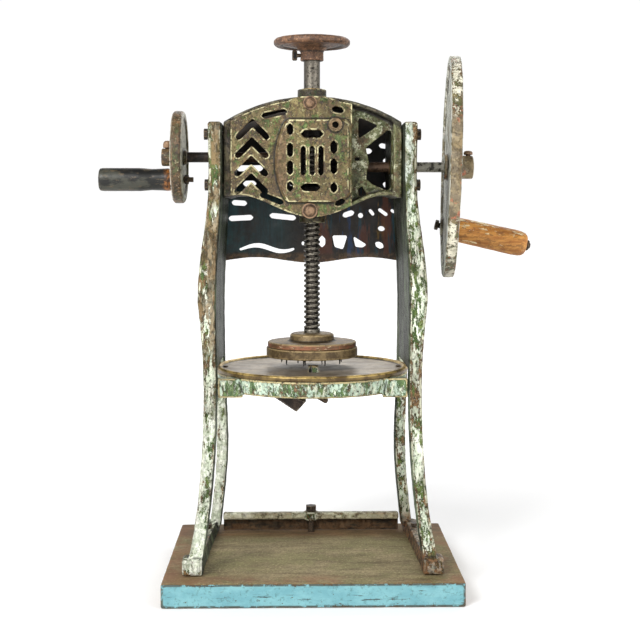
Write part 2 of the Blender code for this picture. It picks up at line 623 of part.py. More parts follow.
def back_plate():
    half = BACK_PLATE_HALF_WIDTH
    side_top, middle_top = BACK_PLATE_TOP
    count = 33
    steps = [-half + 2 * half * i / (count - 1) for i in range(count)]
    lower = [(x, BACK_PLATE_BOTTOM + 0.0045 * math.cos((abs(x) - 0.090) / 0.090 * math.pi)) for x in steps]
    rise = middle_top - side_top
    upper = [(x, side_top + rise * math.cos(x / half * math.pi / 2)) for x in reversed(steps[::2])]
    slots = [
        (-0.117, 0.5725, 0.026, 0.008, -4.0), (-0.1145, 0.548, 0.041, 0.008, 3.0),
        (-0.046, 0.5500, 0.044, 0.008, -6.0), (0.061, 0.5545, 0.021, 0.008, 18.0),
        (0.099, 0.5570, 0.013, 0.005, -52.0), (0.1175, 0.5575, 0.019, 0.005, -36.0),
        (0.134, 0.5590, 0.010, 0.004, -36.0), (0.115, 0.5305, 0.012, 0.007, -10.0),
        (0.018, 0.5095, 0.019, 0.010, 90.0), (-0.0130, 0.5065, 0.007, 0.004, 90.0),
        (0.112, 0.5035, 0.016, 0.009, -30.0),
        (0.092, 0.6570, 0.016, 0.008, 3.0), (0.118, 0.6655, 0.015, 0.007, -12.0),
        (0.127, 0.6420, 0.020, 0.006, 4.0), (0.124, 0.6020, 0.014, 0.009, -20.0),
        (-0.100, 0.6290, 0.044, 0.009, 0.0), (-0.100, 0.6040, 0.022, 0.009, 0.0),
        (-0.034, 0.6810, 0.006, 0.005, 0.0), (-0.032, 0.6035, 0.007, 0.005, 90.0),
    ]
    wave_x = [-0.117 + 0.0895 * i / 11 for i in range(12)]
    crest = [0.4985 + 0.0050 * math.sin((x + 0.117) / 0.0895 * 2.0 * math.pi * 1.05 - 0.5) for x in wave_x]
    swell = [0.0012 + 0.0024 * math.sin(math.pi * (i + 0.5) / 12) for i in range(12)]
    wave = ([(x, z - w) for x, z, w in zip(wave_x, crest, swell)]
            + [(x, z + w) for x, z, w in zip(reversed(wave_x), reversed(crest), reversed(swell))])
    square = [(0.035, 0.519), (0.039, 0.501), (0.052, 0.497), (0.059, 0.519)]
    wedge = [(0.069, 0.518), (0.073, 0.501), (0.084, 0.500), (0.091, 0.504)]
    holes = [stadium(*slot) for slot in slots] + [circle(0.081, 0.552, 0.0042, 10), wave, square, wedge]
    bolt_holes = [circle(side * BACK_BOLT_X, BACK_BOLT_Z, 0.0033) for side in (-1, 1)]
    finish(plate("back", [lower + upper] + holes + bolt_holes, *BACK_PLATE_Y), "back_plate", "back_plate_paint")
    for side, word in ((-1, "left"), (1, "right")):
        hex_bolt(f"back_plate_bolt_{word}", (side * BACK_BOLT_X, BACK_PLATE_Y[1] + GAP, BACK_BOLT_Z), (0, 1, 0),
                 0.0145, 0.0030, 0.0060, 0.0045)


# ---------------------------------------------------------------- tray and blade

def tray():
    low, high = TRAY_Z
    radius = TRAY_RADIUS
    profile = [(radius - 0.0175, high), (radius, high), (radius, high - 0.0035), (radius - 0.0040, low + 0.002),
               (radius - 0.0060, low), (radius - 0.0120, low), (radius - 0.0120, high - 0.008),
               (radius - 0.0175, high - 0.005)]
    ring = turned("ring", profile, (0, 0, 0), (0, 0, 1), 40, bored=True)
    ears, holes = [], []
    for side in (-1, 1):
        for y in TRAY_BOLTS.values():
            reach = interpolate(FRONT_LEG if y < 0 else REAR_LEG, TRAY_BOLT_Z)[0] - 0.0008
            near = side * (math.sqrt((radius - 0.009) ** 2 - y ** 2) - 0.001)
            ears.append(box("ear", (min(near, side * reach), y - 0.008, TRAY_EAR_BOTTOM),
                            (max(near, side * reach), y + 0.008, high - 0.0005)))
            holes.append(rod("hole", (side * 0.1218, y, TRAY_BOLT_Z), (side * 0.15, y, TRAY_BOLT_Z), 0.0043,
                             segments=BOLT_SIDES))
    join(ring, *ears)
    finish(cut(ring, *holes, *screw_holes()), "tray_ring", "tray_paint")
    ice_plate(high + GAP)
    blade_parts()


def screw_holes():
    return [rod("hole", (x, 0, TRAY_Z[1] - 0.012), (x, 0, 0.33), 0.0023, segments=BOLT_SIDES)
            for x in PLATE_SCREWS.values()]


def ice_plate(bottom):
    radius = ICE_PLATE_RADIUS
    rim_top = ICE_PLATE_RIM
    profile = [(0.0, ICE_PLATE_TOP), (radius - 0.0104, ICE_PLATE_TOP), (radius - 0.0088, rim_top - 0.0010),
               (radius - 0.0072, rim_top), (radius - 0.0024, rim_top - 0.0004), (radius, rim_top - 0.0030),
               (radius - 0.001, bottom), (0.0, bottom)]
    disc = turned("disc", profile, (0, 0, 0), (0, 0, 1), 40)
    slot = box("slot", (SLOT_X[0], SLOT_Y[0], bottom - 0.01), (SLOT_X[1], SLOT_Y[1], bottom + 0.01))
    finish(cut(disc, slot, *screw_holes()), "ice_plate", "ice_plate_bronze")
    for word, x in PLATE_SCREWS.items():
        screw = rod("shank", (x, 0, TRAY_Z[1] - 0.011), (x, 0, ICE_PLATE_TOP + 0.001), 0.0020,
                    segments=BOLT_SIDES)
        dome = [(0.0, 0.0022), (0.0030, 0.0018), (0.0045, 0.0006), (0.0045, 0.0), (0.0, 0.0)]
        head = turned("head", dome, (x, 0, ICE_PLATE_TOP + GAP), (0, 0, 1), 16)
        finish(join(screw, head), f"ice_plate_screw_{word}", "fastener_steel")


def blade_parts():
    """The holder hangs under the plate; the blade lies on its bed and looks out of the slot."""
    heel = BLADE_BED - BLADE_SLOPE * 0.038
    bed = [(-0.060, BLADE_BED.z), (-0.060, 0.2812), (-0.0242, 0.2572), (-0.0085, 0.2743),
           (heel.x + 0.0035, heel.z - 0.0028), (heel.x, heel.z), (BLADE_BED.x, BLADE_BED.z)]
    near, far = SLOT_Y[0] + 0.004, SLOT_Y[1] - 0.004
    holder = round_edges(plate("bed", (bed,), near, far), 0.0012, 1)
    normal = Vector((BLADE_SLOPE.z, 0.0, -BLADE_SLOPE.x))
    centre = BLADE_BED - BLADE_SLOPE * 0.026 + Vector((0, (near + far) / 2, 0))
    cut(holder, rod("hole", centre - normal * 0.014, centre + normal * 0.02, 0.0043, segments=16))
    finish(holder, "blade_holder", "blade_steel")
    start = BLADE_BED - BLADE_SLOPE * 0.0360 + normal * GAP
    edge = start + BLADE_SLOPE * 0.0430
    thick = 0.0026
    shoulder = edge - BLADE_SLOPE * 0.004 + normal * thick
    corners = [start, start + normal * thick, shoulder, edge + normal * GAP, edge]
    blade = plate("blade", ([(corner.x, corner.z) for corner in corners],), near + 0.001, far - 0.001)
    cut(blade, rod("hole", centre - normal * 0.014, centre + normal * 0.02, 0.0043, segments=16))
    finish(blade, "blade", "blade_steel")
    face = centre + normal * (thick + 2 * GAP)
    screw = rod("shank", centre - normal * 0.0135, face + normal * 0.001, 0.0040, segments=16)
    head = turned("head", [(0.0, 0.044), (0.0032, 0.0432), (0.0045, 0.0408), (0.0045, 0.003), (0.0072, 0.003),
                           (0.0075, 0.0), (0.0, 0.0)], face, normal, 20)
    finish(join(screw, head), "blade_clamp_screw", "fastener_steel")


# ---------------------------------------------------------------- spindle, gears and plates

def spindle(pivot):
    low, high = SPINDLE_Z
    profile = [(0.0, high), (SPINDLE_RADIUS - 0.002, high), (SPINDLE_RADIUS, high - 0.002),
               (SPINDLE_RADIUS, low), (0.0, low)]
    shaft = turned("spindle", profile, (0, 0, 0), (0, 0, 1), 32)
    key = KEYWAY_HALF_WIDTH
    cut(shaft, box("keyway", (-key, KEYWAY_FLOOR, 0.378), (key, 0.02, 0.772)))
    finish(shaft, "spindle", "spindle_steel", pivot)
    bore = SPINDLE_RADIUS + GAP
    upper = turned("upper", [
        (bore, 0.3718), (0.0300, 0.3712), (0.0335, 0.3690), (0.0352, 0.3600), (0.0372, 0.3589),
        (UPPER_PLATE_RADIUS - 0.0015, 0.3588), (UPPER_PLATE_RADIUS, 0.3573), (UPPER_PLATE_RADIUS, 0.3500),
        (bore, 0.3500)], (0, 0, 0), (0, 0, 1), 40, bored=True)
    finish(upper, "upper_pressure_plate", "pressure_bronze", pivot)
    bottom, top = LOWER_PLATE_Z
    radius = LOWER_PLATE_RADIUS
    lower = turned("lower", [(0.0, top), (radius, top), (radius, bottom + 0.0015), (radius - 0.0015, bottom),
                             (0.0, bottom)], (0, 0, 0), (0, 0, 1), 40)
    spikes = []
    for ring_radius, count, length in SPIKE_RINGS:
        for i in range(count):
            a = 2 * math.pi * (i + 0.35) / count
            x, y = ring_radius * math.cos(a), ring_radius * math.sin(a)
            spikes.append(rod("spike", (x, y, bottom + 0.003), (x, y, bottom - length), 0.0021, 0.0010, 6))
    finish(join(lower, *spikes), "spiked_pressure_plate", "pressure_bronze", pivot)
    handwheel(pivot)


def handwheel(pivot):
    rim_radius, tube, rim_z = 0.0525, 0.0068, 0.818
    bore = SPINDLE_RADIUS + GAP
    rim = [(rim_radius + tube * math.cos(a), rim_z + tube * math.sin(a))
           for a in (math.radians(150 - 300 * i / 7) for i in range(8))]
    profile = ([(bore, 0.8260), (0.0160, 0.8260), (0.0200, 0.8225)] + rim
               + [(0.0250, 0.8100), (0.0180, 0.8040), (0.0180, 0.7897), (bore, 0.7897)])
    wheel = turned("wheel", profile, (0, 0, 0), (0, 0, 1), 32, bored=True)
    cut(wheel, rod("hole", (-0.030, 0, 0.7985), (-0.008, 0, 0.7985), 0.0033, segments=BOLT_SIDES))
    finish(wheel, "handwheel", "handwheel_rust", pivot)
    screw = rod("shank", (-SPINDLE_RADIUS - GAP, 0, 0.7985), (-0.0235, 0, 0.7985), 0.0030, segments=BOLT_SIDES)
    wing = box("wing", (-0.0305, -0.0020, 0.7905), (-0.0225, 0.0020, 0.8065), 0.0015, 1)
    finish(join(screw, wing), "handwheel_thumb_screw", "fastener_steel", pivot)


def bevel_gear(name, teeth, mate_teeth, bore, hub_radius, hub_length, apex, direction, turn):
    """A straight bevel gear whose cone's apex is at apex and whose back looks along direction."""
    pitch_radius = MODULE * teeth / 2
    cone_length = math.hypot(pitch_radius, MODULE * mate_teeth / 2)
    cone = math.atan2(teeth, mate_teeth)
    radial, axial = math.sin(cone), math.cos(cone)
    addendum, dedendum = 0.75 * MODULE, 1.15 * MODULE
    widths = ((-0.30, -dedendum), (-0.105, addendum), (0.105, addendum), (0.30, -dedendum))

    def outline(length):
        points = []
        share = length / cone_length
        for i in range(teeth):
            for offset, height in widths:
                a = 2 * math.pi * (i + offset) / teeth
                r = length * radial + height * share * axial
                z = length * axial - height * share * radial
                points.append((r * math.cos(a), r * math.sin(a), z))
        return points

    def ring(radius, z):
        return [(radius * math.cos(a), radius * math.sin(a), z)
                for a in (2 * math.pi * (i + offset) / teeth for i in range(teeth) for offset, _ in widths)]

    front, back = outline(cone_length - GEAR_FACE), outline(cone_length)
    back_z = cone_length * axial + dedendum * radial + 0.003
    end_z = back_z + hub_length
    front_z = max(z for _, _, z in front)
    rings = [ring(bore, front_z), front, back, ring(hub_radius, back_z), ring(hub_radius, end_z),
             ring(bore, end_z)]
    bm = bmesh.new()
    loops = [[bm.verts.new(point) for point in points] for points in rings]
    count = len(front)
    for one, other in zip(loops, loops[1:] + loops[:1]):
        for i in range(count):
            j = (i + 1) % count
            bm.faces.new((one[i], one[j], other[j], other[i]))
    gear = mesh_object(name, bm)
    gear.data.transform(aim(apex, direction) @ Matrix.Rotation(turn, 4, "Z"))
    return fix_normals(gear)


def gears(spindle_pivot, nut_pivot, flywheel_pivot, crank_pivot):
    bore = SPINDLE_RADIUS + RUNNING
    half_tooth = math.pi / PINION_TEETH
    back = MODULE * PINION_TEETH / 2
    hub_start = back + 1.15 * MODULE * math.sin(math.atan2(GEAR_TEETH, PINION_TEETH)) + 0.003
    drive_hub = FLYWHEEL_AXIS_Z - hub_start - (BOSS_Z[1] + GAP)
    drive = bevel_gear("drive", GEAR_TEETH, PINION_TEETH, bore, GEAR_HUB_RADIUS, drive_hub,
                       (0, 0, FLYWHEEL_AXIS_Z), (0, 0, -1), 0.0)
    key_low = FLYWHEEL_AXIS_Z - hub_start - 0.025
    join(drive, box("key", (-0.0022, 0.0101, key_low), (0.0022, 0.0150, key_low + 0.018)))
    finish(drive, "drive_gear", "gear_iron", spindle_pivot)
    nut = bevel_gear("nut", GEAR_TEETH, PINION_TEETH, bore, GEAR_HUB_RADIUS,
                     COLLAR_Z[0] - GAP - (FEED_AXIS_Z + hub_start), (0, 0, FEED_AXIS_Z), (0, 0, 1), 0.0)
    finish(nut, "feed_nut_gear", "gear_iron", nut_pivot)
    for name, axis_z, side, pivot in (("drive_pinion", FLYWHEEL_AXIS_Z, 1, flywheel_pivot),
                                      ("feed_pinion", FEED_AXIS_Z, -1, crank_pivot)):
        pinion = bevel_gear("pinion", PINION_TEETH, GEAR_TEETH, SHAFT_RADIUS + GAP, 0.0150, 0.010,
                            (0, 0, axis_z), (side, 0, 0), half_tooth)
        finish(pinion, name, "gear_iron", pivot)


def bushes():
    for name, low, high in (("lower_spindle_bush", BOSS_Z[0] + 0.0007, BOSS_Z[1]),
                            ("upper_spindle_bush", COLLAR_Z[0] + GAP, COLLAR_Z[1] + 0.0010)):
        bore, outer = SPINDLE_RADIUS + RUNNING, BUSH_RADIUS
        profile = [(bore, high), (outer, high), (outer, low), (bore, low)]
        ring = turned("bush", profile, (0, 0, 0), (0, 0, 1), 24, bored=True)
        finish(ring, name, "bush_bronze")
    for name, side, axis_z in (("feed_shaft_bush", -1, FEED_AXIS_Z),
                               ("flywheel_shaft_bush", 1, FLYWHEEL_AXIS_Z)):
        bore, outer = SHAFT_RADIUS + RUNNING, 0.011
        ring = turned("bush", [(bore, 0.036), (outer, 0.036), (outer, 0.0), (bore, 0.0)],
                      (side * 0.118, 0, axis_z), (side, 0, 0), 24, True)
        finish(ring, name, "bush_bronze")


# ---------------------------------------------------------------- flywheel and crank

def set_screw(name, x, axis_z, hub_radius, head_radius, head_height, pivot):
    """A domed screw standing on top of a hub, down to the shaft."""
    seat = axis_z + hub_radius + GAP
    bolt = rod("shank", (x, 0, axis_z + SHAFT_RADIUS + 2 * GAP), (x, 0, seat + 0.001), 0.0038, segments=BOLT_SIDES)
    shape = [(0.0, 1.0), (0.50, 0.97), (0.84, 0.80), (1.0, 0.50), (1.0, 0.12), (0.90, 0.0), (0.0, 0.0)]
    profile = [(share * head_radius, level * head_height) for share, level in shape]
    head = turned("head", profile, (x, 0, seat), (0, 0, 1), 14)
    return finish(join(bolt, head), name, "fastener_steel", pivot)


def flywheel(pivot, grip_pivot):
    centre = Vector((FLYWHEEL_X, 0, FLYWHEEL_AXIS_Z))
    radius, half_rim, half_web = FLYWHEEL_RADIUS, 0.00875, 0.0045
    lip = radius - 0.014
    core = 0.012
    profile = [(core, half_web), (lip - 0.003, half_web), (lip, half_rim), (radius - 0.0015, half_rim),
               (radius, half_rim - 0.0015), (radius, 0.0015 - half_rim), (radius - 0.0015, -half_rim),
               (lip, -half_rim), (lip - 0.003, -half_web), (core, -half_web)]
    wheel = turned("wheel", profile, (0, 0, 0), (1, 0, 0), 48, bored=True)
    tilt = Matrix.Rotation(FLYWHEEL_YAW, 4, "Z") @ Matrix.Rotation(FLYWHEEL_ROLL, 4, "Y")
    wheel.data.transform(Matrix.Translation(centre) @ tilt)
    hub = turned("hub", [(0.0, 0.034), (0.0172, 0.034), (0.0184, 0.0325), (0.0185, 0.0120), (0.0205, -0.0125),
                         (0.0, -0.0125)],
                 centre, (1, 0, 0), 28)
    normal = tilt @ Vector((1, 0, 0))
    bolt_axis = WOOD_GRIP_AXIS
    pad_middle = WOOD_GRIP_START - bolt_axis * 0.0155
    pad = rod("pad", pad_middle - normal * half_rim, pad_middle + normal * half_rim, 0.0145, segments=20)
    join(wheel, hub, pad)
    hole_start = WOOD_GRIP_START - bolt_axis * 0.040
    screw_x = centre.x + 0.0265
    cut(wheel, rod("bore", (0.15, 0, centre.z), (0.30, 0, centre.z), SHAFT_RADIUS + GAP),
        rod("hole", (screw_x, 0, centre.z), (screw_x, 0, centre.z + 0.05), 0.0041, segments=BOLT_SIDES),
        rod("hole", hole_start, WOOD_GRIP_START + bolt_axis * 0.02, 0.0048, segments=16))
    finish(wheel, "flywheel", "flywheel_paint", pivot)
    shaft = rod("shaft", (0.0215, 0, centre.z), (0.2475, 0, centre.z), SHAFT_RADIUS, segments=24)
    finish(shaft, "flywheel_shaft", "shaft_steel", pivot)
    set_screw("flywheel_set_screw", screw_x, centre.z, 0.0186, 0.0072, 0.0068, pivot)
    wooden_grip(pivot, grip_pivot)


def wooden_grip(pivot, grip_pivot):
    start, axis, length = WOOD_GRIP_START, WOOD_GRIP_AXIS, WOOD_GRIP_LENGTH
    bore = 0.0045 + RUNNING
    shape = [(0.0192, 0.0015), (0.0203, 0.008), (0.0206, 0.035), (0.0208, 0.070), (0.0212, 0.095),
             (0.0207, 0.107), (0.0190, 0.114), (0.0158, 0.1178)]
    profile = [(bore, length)] + [(0.0110, length)] + list(reversed(shape)) + [(0.0175, 0.0), (bore, 0.0)]
    grip = turned("grip", profile, start + axis * 0.0006, axis, 24, bored=True)
    finish(grip, "wooden_grip", "grip_wood", grip_pivot)
    nearest = start - axis * 0.0268
    bolt = rod("shank", nearest - axis * 0.001, start + axis * (length + 0.0065), 0.0045, segments=16)
    head = rod("head", nearest - axis * 0.0062, nearest, 0.0088, segments=6)
    finish(join(bolt, round_edges(head, 0.001, 1)), "wooden_grip_bolt", "fastener_steel", pivot)
    nut_seat = start + axis * (length + 0.0012)
    nut = turned("nut", [(0.0048, 0.0035), (0.0070, 0.0035), (0.0090, 0.0012), (0.0090, 0.0), (0.0048, 0.0)],
                 nut_seat, axis, 20, bored=True)
    finish(nut, "wooden_grip_end_nut", "fastener_steel", pivot)


def feed_crank(pivot, grip_pivot):
    outer_x, inner_x = CRANK_X
    radius = CRANK_RADIUS
    thickness = inner_x - outer_x
    bore = SHAFT_RADIUS + GAP
    tip_x = CRANK_TIP_X
    near, far = outer_x - tip_x, outer_x - tip_x + thickness
    lip = radius - 0.010
    profile = [(bore, 0.0), (0.0123, 0.0), (0.0138, 0.0015), (0.0138, near + 0.003),
               (lip - 0.002, near + 0.003), (lip, near), (radius - 0.003, near), (radius, near + 0.003),
               (radius, far - 0.003), (radius - 0.003, far), (lip, far), (lip - 0.002, far - 0.003),
               (0.0126, far - 0.003), (0.0105, far + 0.0035), (bore, far + 0.0035)]
    disc = turned("disc", profile, (tip_x, 0, FEED_AXIS_Z), (1, 0, 0), 36, bored=True)
    grip_y, grip_z = BLACK_GRIP_AT
    cut(disc, rod("hole", (CRANK_SCREW_X, 0, FEED_AXIS_Z), (CRANK_SCREW_X, 0, FEED_AXIS_Z + 0.05), 0.0041,
                  segments=BOLT_SIDES),
        rod("hole", (-0.25, grip_y, grip_z), (-0.15, grip_y, grip_z), 0.0043, segments=16))
    finish(disc, "crank_disc", "crank_paint", pivot)
    shaft = rod("shaft", (CRANK_TIP_X + 0.001, 0, FEED_AXIS_Z), (-0.0215, 0, FEED_AXIS_Z), SHAFT_RADIUS, segments=24)
    finish(shaft, "feed_shaft", "shaft_steel", pivot)
    set_screw("crank_set_screw", CRANK_SCREW_X, FEED_AXIS_Z, 0.0138, 0.0068, 0.0115, pivot)
    black_grip(pivot, grip_pivot)


def black_grip(pivot, grip_pivot):
    grip_y, grip_z = BLACK_GRIP_AT
    outer_x, inner_x = CRANK_X
    bore = 0.0040 + RUNNING
    length = 0.118
    profile = [(bore, length), (0.0150, length), (0.0174, length - 0.0015), (0.0181, length - 0.006),
               (0.0181, 0.055), (0.0166, 0.036), (0.0170, 0.022), (0.0177, 0.012), (0.0162, 0.0), (bore, 0.0)]
    grip = turned("grip", profile, (outer_x + 0.0030 - 0.0008, grip_y, grip_z), (-1, 0, 0), 24, bored=True)
    finish(grip, "black_grip", "black_grip", grip_pivot)
    face = inner_x - 0.003
    bolt = rod("shank", (face + 0.0145, grip_y, grip_z), (outer_x - length + 0.0010, grip_y, grip_z), 0.0040,
               segments=16)
    head = turned("head", [(0.0, 0.0014), (0.0045, 0.0011), (0.0060, 0.0), (0.0, 0.0)],
                  (outer_x + 0.0030 - 0.0008 - length - 0.0004, grip_y, grip_z), (-1, 0, 0), 16)
    finish(join(bolt, head), "black_grip_bolt", "fastener_steel", pivot)
    nut = rod("nut", (face + GAP, grip_y, grip_z), (face + 0.0075, grip_y, grip_z), 0.0078, segments=6)
    round_edges(nut, 0.0008, 1)
    cut(nut, rod("hole", (face - 0.01, grip_y, grip_z), (face + 0.02, grip_y, grip_z), 0.0043, segments=16))
    finish(nut, "black_grip_nut", "fastener_steel", pivot)


# ---------------------------------------------------------------- assembly

def main():
    make_materials()
    spindle_pivot = pivot_empty("spindle_axis", Vector((0, 0, 0)))
    nut_pivot = pivot_empty("feed_nut_axis", Vector((0, 0, FEED_AXIS_Z)))
    flywheel_pivot = pivot_empty("flywheel_axis", Vector((0, 0, FLYWHEEL_AXIS_Z)))
    crank_pivot = pivot_empty("feed_crank_axis", Vector((0, 0, FEED_AXIS_Z)))
    wood_pivot = pivot_empty("wooden_grip_axis", WOOD_GRIP_START)
    black_pivot = pivot_empty("black_grip_axis", Vector((CRANK_X[0], *BLACK_GRIP_AT)))
    stand()
    gear_housing()
    front_cover()
    back_plate()
    tray()
    bushes()
    spindle(spindle_pivot)
    gears(spindle_pivot, nut_pivot, flywheel_pivot, crank_pivot)
    flywheel(flywheel_pivot, wood_pivot)
    feed_crank(crank_pivot, black_pivot)


for old in list(bpy.data.objects):
    bpy.data.objects.remove(old, do_unlink=True)
PARTS = bpy.data.collections.new("shaved_ice_machine")
bpy.context.scene.collection.children.link(PARTS)
main()
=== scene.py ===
"""Looks for a hand-cranked shaved ice machine: chipped cast iron, greasy steel and a weathered board.

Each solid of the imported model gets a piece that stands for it: remeshed evenly, its edges softened like a
casting's, with a procedural material. The spindle gets its real thread. The gears and shaft bushes inside the
housing stay as they are and get a material. Units are metres.
"""
import json
import math

import bpy
import numpy as np
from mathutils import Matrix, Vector, noise


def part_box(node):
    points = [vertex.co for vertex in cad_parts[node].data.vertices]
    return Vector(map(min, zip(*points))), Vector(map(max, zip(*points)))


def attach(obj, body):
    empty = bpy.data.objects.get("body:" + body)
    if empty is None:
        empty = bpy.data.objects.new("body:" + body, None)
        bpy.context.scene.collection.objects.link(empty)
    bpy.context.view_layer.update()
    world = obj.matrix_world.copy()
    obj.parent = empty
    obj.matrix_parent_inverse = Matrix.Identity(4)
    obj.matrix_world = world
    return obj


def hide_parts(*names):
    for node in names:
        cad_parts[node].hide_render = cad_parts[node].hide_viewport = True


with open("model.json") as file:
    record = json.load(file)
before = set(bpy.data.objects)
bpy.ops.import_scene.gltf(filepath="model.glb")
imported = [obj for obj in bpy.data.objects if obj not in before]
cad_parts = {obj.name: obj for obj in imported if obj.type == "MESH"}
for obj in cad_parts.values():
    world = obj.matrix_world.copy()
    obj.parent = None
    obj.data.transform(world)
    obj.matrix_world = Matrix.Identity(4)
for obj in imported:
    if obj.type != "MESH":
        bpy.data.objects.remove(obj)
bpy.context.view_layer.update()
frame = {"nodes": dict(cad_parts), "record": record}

BOARD_TOP = 0.031                            # above the level that heights count from
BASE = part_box("base_board")[1].z - BOARD_TOP     # heights below count from here, as in the CAD

RECORD = frame["record"]
BODY_OF = {node: body for body, nodes in RECORD["behaviour"]["bodies"].items() for node in nodes}
SLOT_OF = {entry["node"]: entry["material_slot"] for entry in RECORD["subparts"]}


# ---------------------------------------------------------------- camera, light and floor

CAMERA_PLACE = (-0.0262, -1.9219, 0.5584)
CAMERA_LENS = 69.97                          # millimetres, on a sensor 36 mm wide
CAMERA_SHIFT = -0.1185
CAMERA_PITCH = math.radians(1.5)             # downwards
CAMERA_YAW = 0.0201                          # towards +X, in radians

# name, place, target, size and watts of each lamp
LAMPS = (
    ("key_light", (-1.5, -2.4, 2.2), (0.0, 0.0, 0.45), (1.2, 1.2), 85.0),
    ("fill_light", (2.2, -1.6, 1.4), (0.0, 0.0, 0.45), (1.6, 1.6), 22.0),
    ("rim_light", (0.6, 2.4, 2.2), (0.0, 0.0, 0.5), (2.0, 1.0), 30.0),
)
SKY_DIMS = (0.50, 0.75)                      # sines of the elevations between which the sky gets dimmer
SKY_STRENGTH = (1.02, 0.28)                  # below and above them
FLOOR_HALF = 30.0
FLOOR_LIFTS = (0.2, 2.2)                     # the floor's own glow grows between these distances
FLOOR_GLOW = (0.06, 0.60)


def make_camera():
    camera = bpy.data.objects.new("camera", bpy.data.cameras.new("camera"))
    bpy.context.scene.collection.objects.link(camera)
    camera.data.lens = CAMERA_LENS
    camera.data.sensor_width = 36.0
    camera.data.shift_y = CAMERA_SHIFT
    camera.location = (CAMERA_PLACE[0], CAMERA_PLACE[1], CAMERA_PLACE[2] + BASE)
    camera.rotation_euler = (math.radians(90.0) - CAMERA_PITCH, 0.0, -CAMERA_YAW)
    bpy.context.scene.camera = camera


def area_light(name, location, target, size, power):
    light = bpy.data.lights.new(name, "AREA")
    light.shape = "RECTANGLE"
    light.size, light.size_y = size
    light.energy = power
    lamp = bpy.data.objects.new(name, light)
    lamp.location = location
    aim = Vector(target) - Vector(location)
    lamp.rotation_euler = aim.to_track_quat("-Z", "Y").to_euler()
    bpy.context.scene.collection.objects.link(lamp)


def map_range(node, source, target):
    """Sets a Map Range node to turn the source's low and high into the target's."""
    for key, value in zip(("From Min", "From Max", "To Min", "To Max"), source + target):
        node.inputs[key].default_value = value


def make_sky():
    """White round the horizon and dimmer overhead, so that upper and lower faces differ."""
    world = bpy.data.worlds.new("studio")
    bpy.context.scene.world = world
    world.use_nodes = True
    tree = world.node_tree
    direction = tree.nodes.new("ShaderNodeTexCoord")
    split = tree.nodes.new("ShaderNodeSeparateXYZ")
    level = tree.nodes.new("ShaderNodeMapRange")
    tree.links.new(direction.outputs["Generated"], split.inputs[0])
    tree.links.new(split.outputs["Z"], level.inputs["Value"])
    map_range(level, SKY_DIMS, SKY_STRENGTH)
    sky = tree.nodes["Background"]
    sky.inputs["Color"].default_value = (1.0, 1.0, 1.0, 1.0)
    tree.links.new(level.outputs["Result"], sky.inputs["Strength"])


def make_floor():
    """A pale floor whose own glow grows away from the object, so that only its contact shadow shows."""
    half = FLOOR_HALF
    corners = [(-half, -half, 0), (half, -half, 0), (half, half, 0), (-half, half, 0)]
    mesh = bpy.data.meshes.new("floor")
    mesh.from_pydata(corners, [], [(0, 1, 2, 3)])
    floor = bpy.data.objects.new("floor", mesh)
    bpy.context.scene.collection.objects.link(floor)
    paper = Graph("floor_paper")
    paper.colour((0.93, 0.93, 0.93, 1.0))
    paper.roughness(1.0)
    paper.shader.inputs["Specular IOR Level"].default_value = 0.0
    paper.shader.inputs["Emission Color"].default_value = (1.0, 1.0, 1.0, 1.0)
    away = paper.add("ShaderNodeVectorMath", operation="LENGTH")
    paper.plug(away.inputs[0], paper.add("ShaderNodeTexCoord").outputs["Object"])
    glow = paper.add("ShaderNodeMapRange", interpolation_type="SMOOTHSTEP")
    paper.plug(glow.inputs["Value"], away.outputs["Value"])
    map_range(glow, FLOOR_LIFTS, FLOOR_GLOW)
    paper.plug(paper.shader.inputs["Emission Strength"], glow.outputs["Result"])
    mesh.materials.append(paper.material)


def make_studio():
    bpy.context.scene.view_settings.view_transform = "Standard"
    make_sky()
    for lamp in LAMPS:
        area_light(*lamp)
    make_floor()


# ---------------------------------------------------------------- node materials

def srgb(red, green, blue):
    """A linear colour from sRGB values of 0 to 255."""
    def linear(value):
        value /= 255.0
        return value / 12.92 if value <= 0.04045 else ((value + 0.055) / 1.055) ** 2.4
    return (linear(red), linear(green), linear(blue), 1.0)


